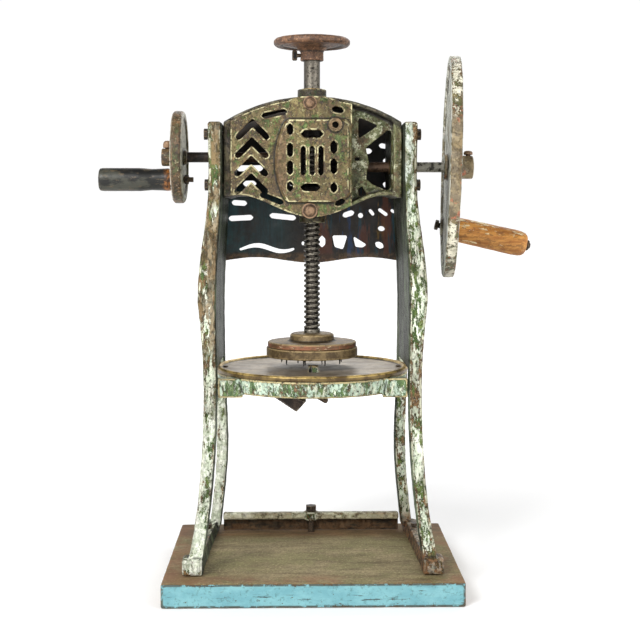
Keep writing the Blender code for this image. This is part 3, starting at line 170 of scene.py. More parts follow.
class Graph:
    """A node material under construction, with object coordinates in metres.

    Each noise takes the next region of space, so the order of the noises is part of a material's look.
    """

    REGION_STEP = 3.7

    def __init__(self, name):
        self.material = bpy.data.materials.new(name)
        self.material.use_nodes = True
        self.tree = self.material.node_tree
        self.tree.nodes.clear()
        self.shader = self.add("ShaderNodeBsdfPrincipled")
        output = self.add("ShaderNodeOutputMaterial")
        self.tree.links.new(self.shader.outputs["BSDF"], output.inputs["Surface"])
        self.coords = None
        self.seed = 0.0

    def add(self, kind, **settings):
        node = self.tree.nodes.new(kind)
        for key, value in settings.items():
            setattr(node, key, value)
        return node

    def plug(self, socket, value):
        if isinstance(value, bpy.types.NodeSocket):
            self.tree.links.new(value, socket)
        elif value is not None:
            socket.default_value = value

    def coordinates(self, source):
        if self.coords is None:
            self.coords = self.add("ShaderNodeTexCoord")
        return self.coords.outputs[source]

    def place(self, scale=(1, 1, 1), rotation=(0, 0, 0)):
        """Object coordinates, scaled and turned, each time from another region."""
        node = self.add("ShaderNodeMapping")
        self.plug(node.inputs["Vector"], self.coordinates("Object"))
        node.inputs["Scale"].default_value = scale
        node.inputs["Rotation"].default_value = [math.radians(angle) for angle in rotation]
        self.seed += self.REGION_STEP
        node.inputs["Location"].default_value = (self.seed, self.seed * 0.61, -self.seed * 0.37)
        return node.outputs["Vector"]

    def noise(self, scale, detail=6.0, rough=0.6, stretch=(1, 1, 1), rotation=(0, 0, 0), distortion=0.0):
        node = self.add("ShaderNodeTexNoise")
        self.plug(node.inputs["Vector"], self.place(stretch, rotation))
        for key, value in (("Scale", scale), ("Detail", detail), ("Roughness", rough), ("Distortion", distortion)):
            node.inputs[key].default_value = value
        return node.outputs["Fac"]

    def bands(self, scale, rotation, distortion, detail):
        node = self.add("ShaderNodeTexWave", wave_type="BANDS", bands_direction="X")
        self.plug(node.inputs["Vector"], self.place((1, 1, 1), rotation))
        for key, value in (("Scale", scale), ("Distortion", distortion), ("Detail", detail)):
            node.inputs[key].default_value = value
        return node.outputs["Fac"]

    def maths(self, operation, one, other=None):
        node = self.add("ShaderNodeMath", operation=operation)
        self.plug(node.inputs[0], one)
        self.plug(node.inputs[1], other)
        return node.outputs[0]

    def times(self, first, *others):
        for other in others:
            first = self.maths("MULTIPLY", first, other)
        return first

    def plus(self, one, other):
        return self.maths("ADD", one, other)

    def size(self, value):
        return self.maths("ABSOLUTE", value)

    def reach(self, one, other):
        """The distance from an axis, from the two coordinates across it."""
        return self.maths("SQRT", self.plus(self.times(one, one), self.times(other, other)))

    def step(self, value, edge, soft=0.02):
        """0 below the edge and 1 above it, with a smooth change between."""
        node = self.add("ShaderNodeMapRange", interpolation_type="SMOOTHSTEP")
        self.plug(node.inputs["Value"], value)
        node.inputs["From Min"].default_value = edge - soft
        node.inputs["From Max"].default_value = edge + soft
        return node.outputs["Result"]

    def below(self, value, edge, soft):
        """1 below the edge and 0 above it."""
        return self.step(self.times(value, -1.0), -edge, soft)

    def near(self, value, middle, reach, soft):
        """1 within reach of the middle and 0 farther off."""
        return self.below(self.size(self.maths("SUBTRACT", value, middle)), reach, soft)

    def mix(self, share, one, other, blend="MIX"):
        node = self.add("ShaderNodeMix", data_type="RGBA", blend_type=blend)
        self.plug(node.inputs["Factor"], share)
        self.plug(node.inputs[6], one)
        self.plug(node.inputs[7], other)
        return node.outputs[2]

    def attribute(self, name):
        return self.add("ShaderNodeAttribute", attribute_name=name).outputs["Fac"]

    def axis(self, source, index):
        """One component of the object coordinates (source Object) or of the object normal (source Normal)."""
        node = self.add("ShaderNodeSeparateXYZ")
        self.plug(node.inputs[0], self.coordinates(source))
        if source == "Object" and index == 2:
            return self.maths("SUBTRACT", node.outputs[2], BASE)
        return node.outputs[index]

    def position(self):
        return (self.axis("Object", index) for index in range(3))

    def normal(self, index):
        return self.axis("Normal", index)

    def bump(self, height, distance):
        node = self.add("ShaderNodeBump")
        node.inputs["Distance"].default_value = distance
        self.plug(node.inputs["Height"], height)
        self.plug(self.shader.inputs["Normal"], node.outputs["Normal"])

    def colour(self, value):
        self.plug(self.shader.inputs["Base Color"], value)

    def roughness(self, value):
        self.plug(self.shader.inputs["Roughness"], value)

    def metallic(self, value):
        self.plug(self.shader.inputs["Metallic"], value)

    def gloss(self, value):
        self.shader.inputs["Specular IOR Level"].default_value = value


def mottle(graph, scale, dark, pale, edge=0.5, soft=0.04, stretch=(1, 1, 1)):
    """Patches of two colours."""
    return graph.mix(graph.step(graph.noise(scale, 8.0, 0.75, stretch), edge, soft), dark, pale)


def rusty(graph, dark, mid, bright, scale=90.0):
    """The colour of bare, aged iron: three tones broken up at two sizes."""
    tone = graph.mix(graph.step(graph.noise(scale, 8.0, 0.75), 0.5, 0.10), dark, mid)
    return graph.mix(graph.step(graph.noise(scale * 2.6, 6.0, 0.7), 0.58, 0.05), tone, bright)


def layers(graph, iron, coats, scale, stretch, edge_wear=0.12, fine=0.45):
    """Iron under coats of paint, each (colour, second colour, edge) flaking by itself: colour and height."""
    wear = graph.attribute("wear")
    colour = rusty(graph, *iron)
    height = graph.times(graph.noise(420.0, 4.0, 0.6), 0.35)
    for tone, second, edge in coats:
        broad = graph.times(graph.noise(scale, 9.0, 0.78, stretch, distortion=0.3), 1.0 - fine)
        small = graph.times(graph.noise(scale * 5.0, 6.0, 0.78, stretch), fine)
        field = graph.maths("SUBTRACT", graph.plus(broad, small), graph.times(wear, edge_wear))
        cover = graph.step(field, edge, 0.006)
        shade = graph.mix(graph.step(graph.noise(scale * 3.0, 7.0, 0.7, stretch), 0.52, 0.06), tone, second)
        colour = graph.mix(cover, colour, shade)
        height = graph.plus(height, cover)
    return colour, height


STAIN = srgb(104, 82, 56)
FLECK = srgb(34, 26, 18)
# Painted shade colour for hollows.
HOLLOW_SHADE = srgb(24, 19, 13)


def weather(graph, colour, height, specks=None, specks_edge=0.60, edge_highlight=None, edge_share=0.5, grime=0.55,
            roughness=0.5, relief=0.0007, zones=()):
    """Adds a painted highlight on convex edges, specks, stains, dark flecks, zones of other colours and painted
    shade in hollows; fills the shader.
    """
    # Painted highlight: convex edges get a pale colour wherever the noise allows.
    if edge_highlight is not None:
        kept = graph.times(graph.step(graph.attribute("wear"), 0.32, 0.10),
                           graph.step(graph.noise(75.0, 7.0, 0.7), edge_share, 0.02))
        colour = graph.mix(kept, colour, edge_highlight)
        height = graph.plus(height, kept)
    if specks is not None:
        share = graph.step(graph.noise(190.0, 6.0, 0.78), specks_edge, 0.015)
        colour = graph.mix(share, colour, specks)
        height = graph.plus(height, share)
    stain = graph.times(graph.step(graph.noise(22.0, 7.0, 0.7, (1, 1, 0.5)), 0.52, 0.12), grime)
    colour = graph.mix(stain, colour, STAIN, "MULTIPLY")
    fleck = graph.times(graph.step(graph.noise(260.0, 4.0, 0.6), 0.61, 0.02), 0.85)
    colour = graph.mix(fleck, colour, FLECK)
    for share, tone in zones:
        colour = graph.mix(share, colour, tone)
    # Painted shade: hollow places are darkened.
    hollow = graph.times(graph.step(graph.attribute("hollow"), 0.25, 0.2), 0.8)
    graph.colour(graph.mix(hollow, colour, HOLLOW_SHADE))
    graph.roughness(graph.plus(graph.times(graph.noise(70.0, 4.0), 0.35), roughness - 0.17))
    graph.bump(height, relief)
    return graph.material


# ---------------------------------------------------------------- painted castings

FOOT_HEIGHT = 0.062                          # the feet and the rear bar lie below this
BAR_HALF_LENGTH = 0.1485
BAR_FRONT = 0.1135
WEB_TOP, WEB_FRONT = 0.0508, 0.126           # the upright plate under the rear bar
LEG_INNER = 0.1                              # the side frames lie beyond this on both sides
FRAME_TOP_FROM = 0.565                       # the plain upper end of a front leg begins here


def frame_material():
    """Cream over green over rust; inner faces get painted shade and grease, the rear bar is darker, the right foot
    is rusty.

    The left front leg is brown above the tray and cream below it.
    """
    graph = Graph("frame_chipped_paint")
    graph.gloss(0.22)
    iron = (srgb(72, 54, 36), srgb(124, 98, 66), srgb(152, 124, 84))
    green = (srgb(62, 82, 40), srgb(104, 120, 64), 0.468)
    cream_coat = (srgb(204, 214, 190), srgb(236, 238, 220), 0.492)
    colour, height = layers(graph, iron, (green, cream_coat), 27.0, (1, 1, 0.36))
    x, y, z = graph.position()

    # Faces turned inwards get a dark mottle: painted shade, with grease.
    inward = graph.times(graph.normal(0), graph.maths("SIGN", x), -1.0)
    inward = graph.times(graph.step(inward, 0.55, 0.15), 0.92)
    inside = mottle(graph, 60.0, srgb(28, 34, 24), srgb(92, 104, 78), 0.55, 0.05, (1, 1, 0.12))

    low = graph.below(z, FOOT_HEIGHT, 0.008)
    rust_foot = graph.times(low, graph.step(x, LEG_INNER, 0.02), 0.75)
    rust = mottle(graph, 90.0, srgb(66, 46, 32), srgb(134, 96, 66))

    middle = graph.below(graph.size(x), BAR_HALF_LENGTH, 0.0004)
    bar = graph.times(middle, low, graph.step(y, BAR_FRONT, 0.0005))
    bar_tone = mottle(graph, 110.0, srgb(92, 82, 60), srgb(182, 174, 144), 0.46, 0.05)
    web = graph.times(middle, graph.below(z, WEB_TOP, 0.0006), graph.step(y, WEB_FRONT, 0.0003))
    web_tone = mottle(graph, 80.0, srgb(38, 27, 17), srgb(86, 60, 36), 0.5, 0.08, (0.4, 1, 1))

    ahead = graph.step(graph.times(graph.normal(1), -1.0), 0.5, 0.2)
    high = graph.times(graph.step(z, FRAME_TOP_FROM, 0.02), ahead)
    brown_top = graph.times(high, graph.near(x, -0.1428, 0.0062, 0.0022),
                            graph.step(graph.noise(60.0, 7.0, 0.7, (1, 1, 0.4)), 0.42, 0.03))
    pale_strip = graph.times(graph.step(x, LEG_INNER, 0.01), graph.below(x, 0.1445, 0.003))
    pale_top = graph.times(high, pale_strip, graph.step(graph.noise(60.0, 7.0, 0.7, (1, 1, 0.4)), 0.45, 0.02))
    pale = mottle(graph, 70.0, srgb(78, 92, 52), srgb(216, 224, 212), 0.505, 0.015, (1, 1, 0.5))
    tan = mottle(graph, 80.0, srgb(72, 58, 36), srgb(132, 110, 78), 0.5, 0.03, (1, 1, 0.4))

    left_leg = graph.times(graph.below(x, -LEG_INNER, 0.01), ahead)
    above_tray = graph.times(graph.step(z, 0.345, 0.03), graph.below(z, 0.60, 0.02))
    streaked = graph.step(graph.noise(34.0, 8.0, 0.75, (1, 1, 0.22)), 0.485, 0.010)
    brown_leg = graph.times(left_leg, above_tray, streaked)
    below_tray = graph.times(left_leg, graph.below(z, 0.27, 0.03), 0.9)
    flaked = graph.step(graph.noise(60.0, 8.0, 0.78, (1, 1, 0.5)), 0.475, 0.010)
    cream_leg = graph.times(below_tray, flaked)
    cream = mottle(graph, 120.0, srgb(196, 204, 180), srgb(238, 240, 226))
    zones = ((graph.times(brown_leg, 0.85), tan), (graph.times(cream_leg, 0.9), cream),
             (graph.times(brown_top, 0.9), tan), (graph.times(pale_top, 0.85), pale), (inward, inside),
             (rust_foot, rust), (graph.times(bar, 0.8), bar_tone), (graph.times(web, 0.95), web_tone))
    # The pale edge colour passed here is a painted highlight.
    return weather(graph, colour, height, specks=srgb(232, 234, 216), specks_edge=0.615,
                   edge_highlight=srgb(216, 218, 192), edge_share=0.50, grime=0.55, roughness=0.5, relief=0.0008,
                   zones=zones)


COVER_BACK = -0.0828                         # the cover lies in front of this
RECESS_LEFT = 0.056                          # the recessed face begins to the right of this
RIM_LEFT = -0.1185                           # the housing's rim shows to the left of this
SIGHT_X, SIGHT_Z, SIGHT_RADIUS = 0.0331, 0.6857, 0.0100
FRONT_WALL_BACK = -0.0555                    # behind this lies the housing's inside


def housing_material():
    """The cover is olive and brown; behind it the rim is dark and the recessed face olive, green and cream."""
    graph = Graph("housing_worn_paint")
    iron = (srgb(64, 50, 30), srgb(112, 92, 56), srgb(138, 116, 74))
    olive = (srgb(108, 96, 56), srgb(134, 120, 76), 0.505)
    green = (srgb(80, 100, 46), srgb(122, 136, 74), 0.528)
    colour, height = layers(graph, iron, (olive, green), 30.0, (1, 1, 0.8), edge_wear=0.05)
    brown = mottle(graph, 110.0, srgb(88, 68, 44), srgb(132, 106, 74))
    x, y, z = graph.position()

    behind = graph.step(y, COVER_BACK, 0.0003)
    recess = mottle(graph, 70.0, srgb(64, 72, 38), srgb(120, 128, 88), 0.50)
    for scale, rough, edge, soft, tone in ((48.0, 0.78, 0.535, 0.015, srgb(82, 62, 38)),
                                           (95.0, 0.78, 0.565, 0.012, srgb(206, 208, 178)),
                                           (110.0, 0.75, 0.575, 0.015, srgb(40, 36, 24))):
        recess = graph.mix(graph.step(graph.noise(scale, 8.0, rough), edge, soft), recess, tone)
    face = graph.times(behind, graph.step(x, RECESS_LEFT, 0.002), 0.75)

    left = graph.below(x, RIM_LEFT, 0.001)
    brow = graph.step(graph.plus(z, graph.times(x, x, 2.3)), 0.7205, 0.0015)      # a parabola along the crown
    brow = graph.times(brow, graph.step(graph.size(x), 0.026, 0.002))
    rim = graph.times(behind, graph.maths("MAXIMUM", left, brow))
    dark = mottle(graph, 120.0, srgb(40, 36, 30), srgb(92, 82, 66), 0.55, 0.05)

    ring = graph.reach(graph.maths("SUBTRACT", x, SIGHT_X), graph.maths("SUBTRACT", z, SIGHT_Z))
    ring = graph.times(graph.below(ring, SIGHT_RADIUS, 0.0004), 0.8)
    ridge = graph.times(graph.near(x, -0.0475, 0.0085, 0.002), graph.near(z, 0.632, 0.050, 0.008),
                        graph.below(y, -0.092, 0.001), 0.8)
    # Painted shade: behind the front wall, faces not turned upwards are darkened.
    inside = graph.times(graph.step(y, FRONT_WALL_BACK, 0.0005), graph.below(graph.normal(2), 0.5, 0.2))
    zones = ((ring, brown), (ridge, brown), (face, recess), (graph.times(rim, 0.9), dark),
             (graph.times(inside, 0.6), srgb(26, 22, 18)))
    # The pale edge colour passed here is a painted highlight.
    return weather(graph, colour, height, specks=srgb(204, 196, 148), specks_edge=0.605,
                   edge_highlight=srgb(204, 196, 150), edge_share=0.50, grime=0.5, roughness=0.45, relief=0.0007,
                   zones=zones)


def tray_material():
    graph = Graph("tray_chipped_paint")
    iron = (srgb(70, 52, 34), srgb(116, 90, 60), srgb(150, 124, 84))
    green = (srgb(70, 98, 52), srgb(108, 132, 78), 0.470)
    cream = (srgb(186, 208, 186), srgb(226, 232, 206), 0.500)
    colour, height = layers(graph, iron, (green, cream), 42.0, (1, 1, 0.40), edge_wear=0.06)
    # The pale edge colour passed here is a painted highlight.
    return weather(graph, colour, height, specks=srgb(228, 230, 206), specks_edge=0.62,
                   edge_highlight=srgb(196, 182, 134), edge_share=0.42, grime=0.35, roughness=0.5, relief=0.0008)


def flat_faces(graph):
    """1 on the flat faces of a wheel whose axis is nearly X."""
    return graph.step(graph.size(graph.normal(0)), 0.75, 0.12)


def crank_material():
    graph = Graph("crank_chipped_paint")
    iron = (srgb(54, 42, 26), srgb(108, 86, 56), srgb(150, 116, 80))
    olive = (srgb(78, 82, 46), srgb(122, 118, 78), 0.515)
    cream = (srgb(206, 202, 172), srgb(150, 156, 116), 0.575)
    colour, height = layers(graph, iron, (olive, cream), 38.0, (1, 1, 0.6))
    faces = (graph.times(flat_faces(graph), 0.8),
             mottle(graph, 110.0, srgb(72, 64, 48), srgb(214, 210, 194), 0.45, 0.05))
    return weather(graph, colour, height, specks=srgb(206, 198, 160), specks_edge=0.615, grime=0.45,
                   roughness=0.5, relief=0.0007, zones=(faces,))


def flywheel_material():
    """Olive round the middle of the rim, cream at its ends, and streaked on the flat faces."""
    graph = Graph("flywheel_chipped_paint")
    iron = (srgb(88, 74, 50), srgb(124, 106, 74), srgb(160, 84, 48))
    olive_coat = (srgb(92, 92, 56), srgb(132, 118, 80), 0.47)
    cream = (srgb(220, 216, 192), srgb(236, 230, 208), 0.482)
    colour, height = layers(graph, iron, (olive_coat, cream), 19.0, (1, 1, 0.7), edge_wear=0.05, fine=0.38)
    streaks = mottle(graph, 60.0, srgb(74, 78, 58), srgb(214, 216, 204), 0.485, 0.012, (1, 1, 0.34))
    streaks = graph.mix(graph.step(graph.noise(20.0, 8.0, 0.75), 0.535, 0.015), streaks, srgb(118, 112, 82))
    faces = flat_faces(graph)
    ragged_z = graph.plus(graph.axis("Object", 2), graph.times(graph.noise(16.0, 5.0), 0.06))
    middle = graph.near(ragged_z, 0.652, 0.078, 0.006)
    olive = mottle(graph, 60.0, srgb(98, 82, 56), srgb(134, 116, 82), 0.5, 0.05)
    olive = graph.mix(graph.step(graph.noise(48.0, 7.0, 0.7), 0.59, 0.02), olive, srgb(166, 92, 58))
    return weather(graph, colour, height, specks=srgb(184, 88, 48), specks_edge=0.63, grime=0.4, roughness=0.5,
                   relief=0.0007, zones=((graph.times(middle, 0.9), olive), (graph.times(faces, 0.85), streaks)))


def handwheel_material():
    graph = Graph("handwheel_rust")
    iron = (srgb(80, 54, 38), srgb(130, 94, 68), srgb(164, 122, 88))
    crust = (srgb(98, 70, 50), srgb(126, 96, 68), 0.53)
    colour, height = layers(graph, iron, (crust,), 50.0, (1, 1, 1), edge_wear=0.1)
    return weather(graph, colour, height, grime=0.45, roughness=0.55, relief=0.0005)


# ---------------------------------------------------------------- bare metal

def bare_metal(name, tones, metallic, roughness, scale=90.0, stretch=(1, 1, 1), relief=0.0002, zones=None):
    """Dark, middle and bright tones, the bright one on worn edges; zones(graph, tone) changes them by place."""
    graph = Graph(name)
    dark, mid, bright = tones
    tone = graph.mix(graph.step(graph.noise(scale, 8.0, 0.72, stretch), 0.5, 0.10), dark, mid)
    wear = graph.times(graph.step(graph.attribute("wear"), 0.35, 0.2),
                       graph.step(graph.noise(scale * 1.5, 5.0), 0.42, 0.06))
    tone = graph.mix(wear, tone, bright)
    spots = graph.times(graph.step(graph.noise(scale * 3.0, 4.0), 0.58, 0.03), 0.8)
    tone = graph.mix(spots, tone, dark)
    if zones is not None:
        tone = zones(graph, tone)
    # Painted shade: hollow places are darkened.
    hollow = graph.times(graph.step(graph.attribute("hollow"), 0.25, 0.2), 0.7)
    graph.colour(graph.mix(hollow, tone, srgb(20, 16, 12)))
    graph.metallic(metallic)
    graph.roughness(graph.plus(graph.times(graph.noise(scale, 5.0), 0.4), roughness - 0.2))
    graph.bump(graph.noise(scale * 4.0, 5.0, 0.6), relief)
    return graph.material


def shaft_zones(graph, tone):
    """The feed shaft is nearly black; the flywheel's end is pale with dark flecks; the middle is brown."""
    x = graph.axis("Object", 0)
    pale = mottle(graph, 90.0, srgb(58, 54, 48), srgb(176, 172, 160), 0.47, 0.05)
    tone = graph.mix(graph.step(x, 0.150, 0.002), tone, pale)
    dark = mottle(graph, 90.0, srgb(26, 19, 14), srgb(62, 46, 34), 0.55, 0.06)
    tone = graph.mix(graph.below(x, -0.130, 0.002), tone, dark)
    collar = graph.below(x, -0.1915, 0.0005)
    return graph.mix(graph.times(collar, 0.5), tone, srgb(96, 72, 50))


def fastener_zones(graph, tone):
    """Bolts in front of the cover and on the wheels' hubs are brown, the others nearly black."""
    x, y, z = graph.position()
    cover = graph.below(y, -0.0900, 0.001)
    hub = graph.times(graph.step(graph.size(x), 0.214, 0.001), graph.step(z, 0.636, 0.002))
    brown = mottle(graph, 120.0, srgb(78, 58, 42), srgb(138, 110, 84), 0.46, 0.08)
    return graph.mix(graph.maths("MAXIMUM", cover, hub), tone, brown)


def dish_zones(graph, tone):
    """The ice plate's rim is brass; its floor is a duller grey-brown."""
    radius = graph.reach(graph.axis("Object", 0), graph.axis("Object", 1))
    brass = mottle(graph, 55.0, srgb(96, 76, 40), srgb(196, 168, 100), 0.48, 0.10)
    rim = graph.mix(graph.step(radius, 0.1385, 0.0006), tone, brass)
    side = graph.times(graph.below(graph.normal(2), 0.35, 0.2), graph.step(radius, 0.1462, 0.0004), 0.75)
    return graph.mix(side, rim, srgb(62, 46, 26))


def bronze_zones(graph, tone):
    """The upper plate has a reddish band with cream specks; the spikes are nearly black."""
    z = graph.axis("Object", 2)
    band = graph.times(graph.step(z, 0.3505, 0.0004), graph.below(z, 0.3570, 0.0006), 0.8)
    red = mottle(graph, 60.0, srgb(104, 74, 52), srgb(146, 92, 66), 0.5, 0.05, (1, 1, 2))
    specks = graph.step(graph.noise(85.0, 6.0, 0.7, (1, 1, 2.5)), 0.60, 0.02)
    tone = graph.mix(band, tone, graph.mix(specks, red, srgb(214, 196, 160)))
    return graph.mix(graph.below(z, 0.3345, 0.0005), tone, srgb(24, 18, 14))


# ---------------------------------------------------------------- wood, enamel and lacquer

def board_material():
    """Weathered, olive wood, reddish towards its edges, with worn turquoise paint on its front edge."""
    graph = Graph("weathered_board")
    grain = graph.noise(26.0, 9.0, 0.75, (0.5, 2.2, 2.2), distortion=0.4)
    wood = graph.mix(graph.step(grain, 0.5, 0.14), srgb(104, 92, 60), srgb(136, 124, 86))
    # scale, detail, roughness, stretch, edge and softness of each kind of patch, its share and its colour
    for scale, detail, rough, stretch, edge, soft, share, tone in (
            (9.0, 6.0, 0.65, (1, 1, 1), 0.52, 0.06, 0.5, srgb(146, 132, 98)),
            (13.0, 7.0, 0.7, (0.6, 1, 1), 0.50, 0.05, 0.55, srgb(108, 106, 60)),
            (34.0, 8.0, 0.75, (0.35, 1.6, 1), 0.555, 0.02, 0.55, srgb(78, 62, 36)),
            (240.0, 5.0, 0.7, (1, 1, 1), 0.54, 0.05, 0.55, srgb(84, 70, 46)),
            (280.0, 4.0, 0.6, (1, 1, 1), 0.60, 0.03, 0.5, srgb(176, 158, 118))):
        patch = graph.step(graph.noise(scale, detail, rough, stretch), edge, soft)
        wood = graph.mix(graph.times(patch, share), wood, tone)
    x, y = graph.axis("Object", 0), graph.axis("Object", 1)
    near_edge = graph.maths("MAXIMUM", graph.step(graph.size(x), 0.175, 0.035), graph.below(y, -0.140, 0.025))
    red = graph.times(graph.step(graph.noise(16.0, 6.0, 0.65), 0.50, 0.1), near_edge, 0.6)
    wood = graph.mix(red, wood, srgb(128, 82, 56))
    ruddy = graph.times(graph.step(y, 0.085, 0.02), 0.55)
    wood = graph.mix(ruddy, wood, mottle(graph, 60.0, srgb(92, 62, 40), srgb(138, 98, 66), 0.5, 0.05, (0.3, 1, 1)))
    # Painted shadow: the wood darkens towards the rear edge.
    rear = graph.times(graph.step(y, 0.09, 0.12), 0.45)
    wood = graph.mix(rear, wood, srgb(64, 48, 32))

    front = graph.step(graph.times(graph.normal(1), -1.0), 0.6, 0.15)
    bare = graph.maths("SUBTRACT", graph.noise(60.0, 9.0, 0.78, (1, 1, 1.6)),
                       graph.times(graph.attribute("wear"), 0.16))
    kept = graph.times(front, graph.step(bare, 0.375, 0.015))
    saw = graph.bands(230.0, (0, 52, 0), 3.5, 3.0)
    teal = mottle(graph, 40.0, srgb(122, 182, 192), srgb(146, 204, 210), 0.5, 0.12, (0.5, 1, 1))
    teal = graph.mix(graph.times(saw, 0.30), teal, srgb(108, 158, 164))
    dull = graph.times(graph.step(graph.noise(200.0, 7.0, 0.75), 0.585, 0.03), 0.6)
    teal = graph.mix(dull, teal, srgb(88, 132, 134))
    rubbed = graph.times(graph.step(graph.attribute("wear"), 0.22, 0.12),
                         graph.step(graph.noise(90.0, 6.0, 0.7), 0.45, 0.04), 0.85)
    teal = graph.mix(rubbed, teal, srgb(74, 66, 48))
    scratch = graph.times(graph.step(graph.noise(70.0, 6.0, 0.7, (0.22, 1, 2.5), (0, 8, 0)), 0.62, 0.015), 0.85)
    teal = graph.mix(scratch, teal, srgb(52, 60, 54))
    graph.colour(graph.mix(kept, graph.mix(front, wood, srgb(82, 70, 52)), teal))
    graph.roughness(0.85)
    graph.bump(graph.plus(graph.times(grain, 0.5), graph.times(saw, kept)), 0.0006)
    return graph.material


def back_plate_material():
    """Nearly black enamel: teal at the left, with drips of other colours at the right and a rusty lower edge."""
    graph = Graph("back_plate_enamel")
    down = (1, 1, 0.14)
    base = graph.mix(graph.step(graph.noise(34.0, 8.0, 0.7), 0.5, 0.10), srgb(22, 19, 16), srgb(48, 38, 29))
    x, z = graph.axis("Object", 0), graph.axis("Object", 2)
    lower = graph.below(z, 0.600, 0.03)
    left = graph.below(x, -0.045, 0.03)
    rear_fades = graph.maths("SUBTRACT", 1.0, graph.times(graph.step(graph.normal(1), 0.4, 0.2), 0.75))
    right = graph.times(graph.step(x, 0.0, 0.02), rear_fades)
    teal = mottle(graph, 40.0, srgb(14, 44, 50), srgb(32, 88, 92), 0.5, 0.12, down)
    share = graph.times(left, graph.step(graph.noise(12.0, 6.0, 0.6), 0.46, 0.08), 0.9, lower)
    base = graph.mix(share, base, teal)
    for tone, scale, edge in ((srgb(24, 72, 84), 30.0, 0.54), (srgb(22, 62, 112), 44.0, 0.585),
                              (srgb(138, 104, 32), 52.0, 0.600), (srgb(104, 52, 28), 36.0, 0.57)):
        drip = graph.times(graph.step(graph.noise(scale, 7.0, 0.65, down), edge, 0.025), lower, right, 0.85)
        base = graph.mix(drip, base, tone)
    rim = graph.times(graph.below(z, 0.490, 0.004), 0.75)
    base = graph.mix(rim, base, mottle(graph, 70.0, srgb(66, 50, 32), srgb(128, 98, 62)))
    graph.colour(base)
    graph.roughness(graph.plus(graph.times(graph.noise(60.0), 0.4), 0.25))
    graph.bump(graph.noise(130.0, 6.0, 0.65), 0.0003)
    return graph.material


def wood_grip_material():
    """Golden wood with a grain along it, darker underneath, with remains of pale paint mostly on top."""
    graph = Graph("orange_grip_wood")
    grain = graph.noise(100.0, 8.0, 0.72, (0.14, 1, 1), distortion=0.3)
    wood = graph.mix(graph.step(grain, 0.5, 0.10), srgb(164, 102, 38), srgb(212, 150, 70))
    dark = graph.times(graph.step(graph.noise(150.0, 7.0, 0.75, (0.5, 1, 1)), 0.545, 0.03), 0.60)
    wood = graph.mix(dark, wood, srgb(104, 68, 32))
    shade = graph.times(graph.step(graph.times(graph.normal(2), -1.0), 0.2, 0.5), 0.35)
    wood = graph.mix(shade, wood, srgb(90, 54, 24))
    top = graph.step(graph.normal(2), 0.1, 0.5)
    flakes = graph.plus(graph.noise(70.0, 8.0, 0.75, (0.4, 1, 1)), graph.times(top, 0.07))
    pale = graph.step(flakes, 0.62, 0.012)
    graph.colour(graph.mix(graph.times(pale, 0.9), wood, srgb(238, 222, 178)))
    graph.roughness(0.6)
    graph.bump(graph.plus(grain, pale), 0.0004)
    return graph.material


def black_grip_material():
    """Black lacquer with worn clouds, and rust at the end by the crank."""
    graph = Graph("black_grip_lacquer")
    base = graph.mix(graph.step(graph.noise(40.0, 5.0, 0.65, (0.2, 1, 1)), 0.5, 0.2),
                     srgb(12, 12, 12), srgb(34, 34, 30))
    cloudy = graph.step(graph.noise(36.0, 7.0, 0.7, (0.45, 1, 1)), 0.53, 0.05)
    base = graph.mix(graph.times(cloudy, 0.65), base, srgb(74, 74, 64))
    worn = graph.step(graph.noise(150.0, 7.0, 0.75, (0.35, 1, 1)), 0.575, 0.02)
    base = graph.mix(graph.times(worn, 0.7), base, srgb(92, 78, 58))
    ragged_x = graph.plus(graph.axis("Object", 0), graph.times(graph.noise(60.0, 6.0), 0.016))
    end = graph.times(graph.step(ragged_x, -0.2185, 0.003), 0.85)
    rust = mottle(graph, 110.0, srgb(58, 38, 22), srgb(148, 92, 40), 0.53, 0.05)
    graph.colour(graph.mix(end, base, rust))
    graph.gloss(0.35)
    graph.roughness(graph.plus(graph.times(graph.noise(80.0), 0.25), 0.30))
    graph.bump(graph.noise(160.0, 4.0, 0.5, (0.15, 1, 1)), 0.00025)
    return graph.material


